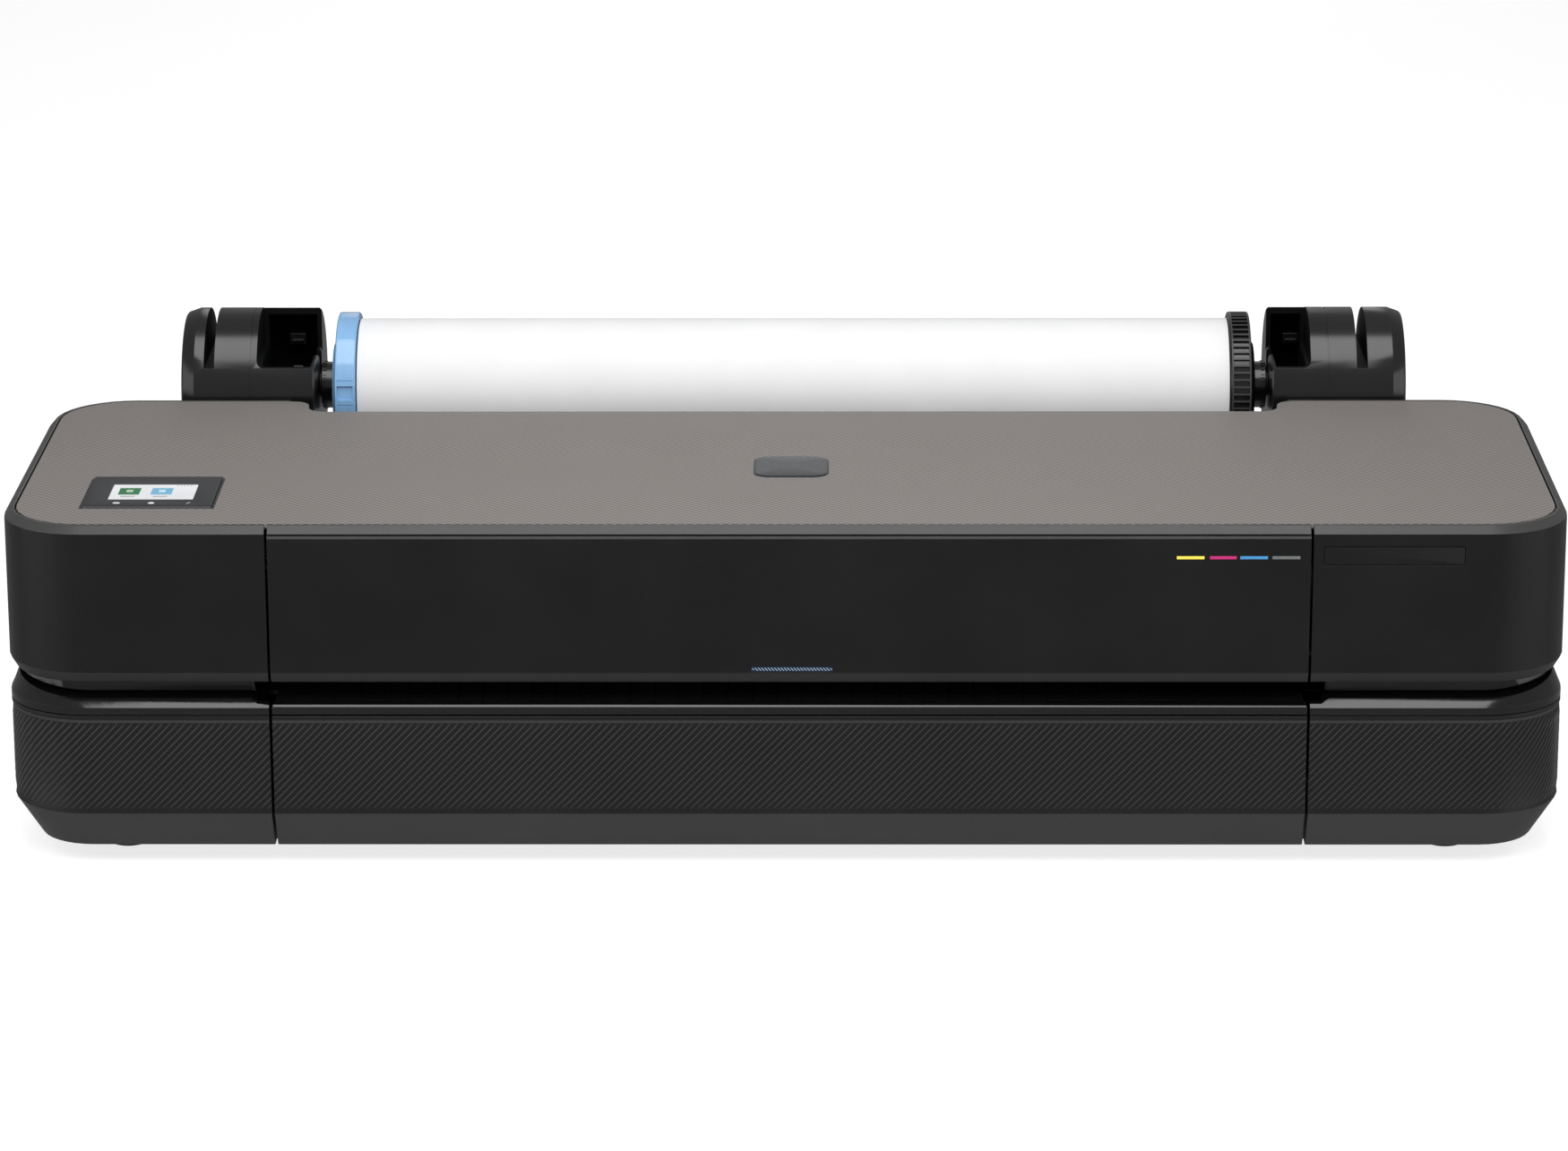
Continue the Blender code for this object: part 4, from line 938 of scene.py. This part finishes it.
def spindle_stops():
    """A small stepped stop on the back wall inside each holder."""
    step = 0.0015
    for side, label in SIDES:
        near, far = sorted((SHIFT + side * 0.3455, SHIFT + side * 0.3570))
        shape = bmesh.new()
        bar(shape, (near, ROLL_Y + 0.0290, ROLL_Z + 0.0220), (far, ROLL_Y + 0.0440, ROLL_Z + 0.0300))
        bar(shape, (near + step, ROLL_Y + 0.0270, ROLL_Z + 0.0240),
            (far - step, ROLL_Y + 0.0300, ROLL_Z + 0.0262))
        stop = piece_from(f"{label}_spindle_stop", shape, "satin_black", "root", slot_of("left_roll_holder"))
        rounded(stop, 0.0006)


hub("blue_hub_form", "blue_hub", "blue", -1, blue_rim())
# The black hub's rib tops are painted light grey as a painted highlight.
hub("black_hub_form", "black_hub", "satin_black", 1, black_rim(), "painted_highlight_grey")
painted_shade_insides()
collar_teeth()
spindle_stops()


# ---- Detail under the window and at the back -----------------------------------------------
def platen_ribs():
    """Low ribs on the platen that carry the sheet, with a slope at both ends."""
    low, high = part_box("platen")
    foot = high[2] - 0.0006
    crest = high[2] + 0.0006
    pitch = 0.016
    count = 38
    half_width = 0.0006
    side = ((high[1] - 0.0140, foot), (low[1] + 0.0180, foot),
            (low[1] + 0.0230, crest), (high[1] - 0.0170, crest))
    shape = bmesh.new()
    for index in range(count):
        x = SHIFT + (index - (count - 1) / 2) * pitch
        walls = (x - half_width, x + half_width)
        skin(shape, [[shape.verts.new((wall, y, z)) for y, z in side] for wall in walls])
    piece_from("platen_ribs", shape, "satin_black", "root", slot_of("platen"))


def screw(name, x, y, z, facing):
    """A pan-head screw with a cross recess; facing is the direction in Y that its head points."""
    radius = 0.0032
    steps = 20
    arm, root = 0.60, 0.22    # how far the arms of the cross and the corners between them reach
    recess_rim, recess_floor = 0.0012, 0.0006
    head = ((1.00, 0.0), (1.00, 0.0006), (0.88, 0.0013), (0.60, 0.0017))
    shape = bmesh.new()

    def point(share, rise, step):
        turn = 2 * math.pi * step / steps
        across = radius * share
        return shape.verts.new((x + across * math.cos(turn), y + facing * rise, z + across * math.sin(turn)))

    rings = [[point(share, rise, step) for step in range(steps)] for share, rise in head]
    skin(shape, rings, ends=False)
    shape.faces.new(rings[0])
    centre = point(0.0, recess_floor, 0)
    star = [point(root if step % (steps // 4) else arm, recess_rim, step) for step in range(steps)]
    skin(shape, [rings[-1], star], ends=False)
    for step in range(steps):
        shape.faces.new((star[step], star[(step + 1) % steps], centre))
    piece_from(name, shape, "ground_steel", "root", "sheet_steel")


def rear_screws():
    """Six screws through the rear cover."""
    pitch = 0.1100
    for index in range(6):
        screw(f"rear_screw_{index}", -0.2300 + index * pitch, BACK - 0.0001, 0.0560, 1)


def rear_vents():
    """Two fields of upright vent slots on the rear wall, drawn as deep black bars: painted shade where the
    openings are.
    """
    pitch = 0.0065
    width = 0.0030
    low_z, high_z = 0.0680, 0.0920
    for field, start in (("left", -0.2050), ("right", 0.1300)):
        shape = bmesh.new()
        for index in range(14):
            x = start + index * pitch
            bar(shape, (x, BACK - 0.0004, low_z), (x + width, BACK + 0.0002, high_z))
        piece_from(f"{field}_vent_slots", shape, "painted_shade_black", "root", slot_of("rear_cover"))


def inlet_pins():
    """Two flat pins at the bottom of the mains inlet."""
    inlet_x = -0.300
    spacing = 0.0043
    half_width = 0.0012
    for side, label in SIDES:
        x = inlet_x + side * spacing
        shape = bmesh.new()
        bar(shape, (x - half_width, BACK - 0.0158, 0.0600), (x + half_width, BACK - 0.0050, 0.0640))
        bmesh.ops.bevel(shape, geom=shape.edges[:], offset=0.0005, segments=2, affect="EDGES")
        piece_from(f"inlet_pin_{label}", shape, "ground_steel", "root", slot_of("power_inlet"))


platen_ribs()
rear_screws()
rear_vents()
inlet_pins()


# ---- Studio --------------------------------------------------------------------------------
def softbox(name, place_at, target, width, height, power):
    """A rectangular area light that faces a point."""
    light = bpy.data.lights.new(name, "AREA")
    light.shape = "RECTANGLE"
    light.size = width
    light.size_y = height
    light.energy = power
    lamp = bpy.data.objects.new(name, light)
    lamp.location = place_at
    lamp.visible_camera = False
    lamp.rotation_euler = (Vector(target) - Vector(place_at)).to_track_quat("-Z", "Y").to_euler()
    bpy.context.scene.collection.objects.link(lamp)
    return lamp


def studio():
    """A box overhead, one high in front that leaves no highlight, side panels and a glow behind."""
    softbox("overhead_box", (0.0, -0.36, 1.40), (0.0, -0.16, 0.22), 1.4, 1.0, 9.6)
    front = softbox("front_box", (0.0, -2.40, 2.30), (0.0, 0.0, 0.20), 3.6, 1.4, 62.0)
    front.visible_glossy = False
    for side, label in SIDES:
        softbox(f"{label}_panel", (side * 2.8, -1.2, 0.60), (side * 0.4, -0.1, 0.15), 3.0, 2.2, 14.0)
    softbox("back_glow", (0.0, 3.2, 1.25), (0.0, 0.0, 0.23), 1.2, 1.5, 4.0)
    world = bpy.data.worlds.new("studio_white")
    world.use_nodes = True
    background = world.node_tree.nodes["Background"]
    background.inputs["Color"].default_value = (1.0, 1.0, 1.0, 1.0)
    background.inputs["Strength"].default_value = 0.20
    bpy.context.scene.world = world


def studio_floor():
    """A wide, flat, pale floor that reaches past the edges of the picture."""
    half_size = 9.0
    shape = bmesh.new()
    bmesh.ops.create_grid(shape, x_segments=6, y_segments=6, size=half_size)
    mesh = mesh_from("studio_floor", shape)
    finish = Finish("pale_floor", specular=0.2)
    cloud = finish.noise(1.5, 2.0)
    finish.tint(cloud, (0.60, 0.60, 0.60), (0.62, 0.62, 0.62))
    finish.roughness(0.8)
    finish.glow((1.0, 1.0, 1.0), 0.75)
    mesh.materials.append(finish.material)
    floor = bpy.data.objects.new("studio_floor", mesh)
    floor.visible_glossy = False
    bpy.context.scene.collection.objects.link(floor)


def photo_camera():
    """Slightly above and almost straight in front of the machine, with a long lens."""
    pitch = math.radians(16.34)
    yaw = math.radians(0.615)
    roll = math.radians(-0.18)
    camera = bpy.data.cameras.new("camera")
    camera.sensor_width = 36.0
    camera.lens = 129.98
    forward = Vector((-math.sin(yaw) * math.cos(pitch), math.cos(yaw) * math.cos(pitch), -math.sin(pitch)))
    level = Quaternion((0.0, 0.0, 1.0), roll)
    eye = bpy.data.objects.new("camera", camera)
    eye.location = (0.0374, -3.700, 1.2235)
    eye.rotation_euler = (forward.to_track_quat("-Z", "Y") @ level).to_euler()
    bpy.context.scene.collection.objects.link(eye)
    bpy.context.scene.camera = eye


studio()
studio_floor()
photo_camera()
bpy.context.scene.view_settings.view_transform = "Standard"
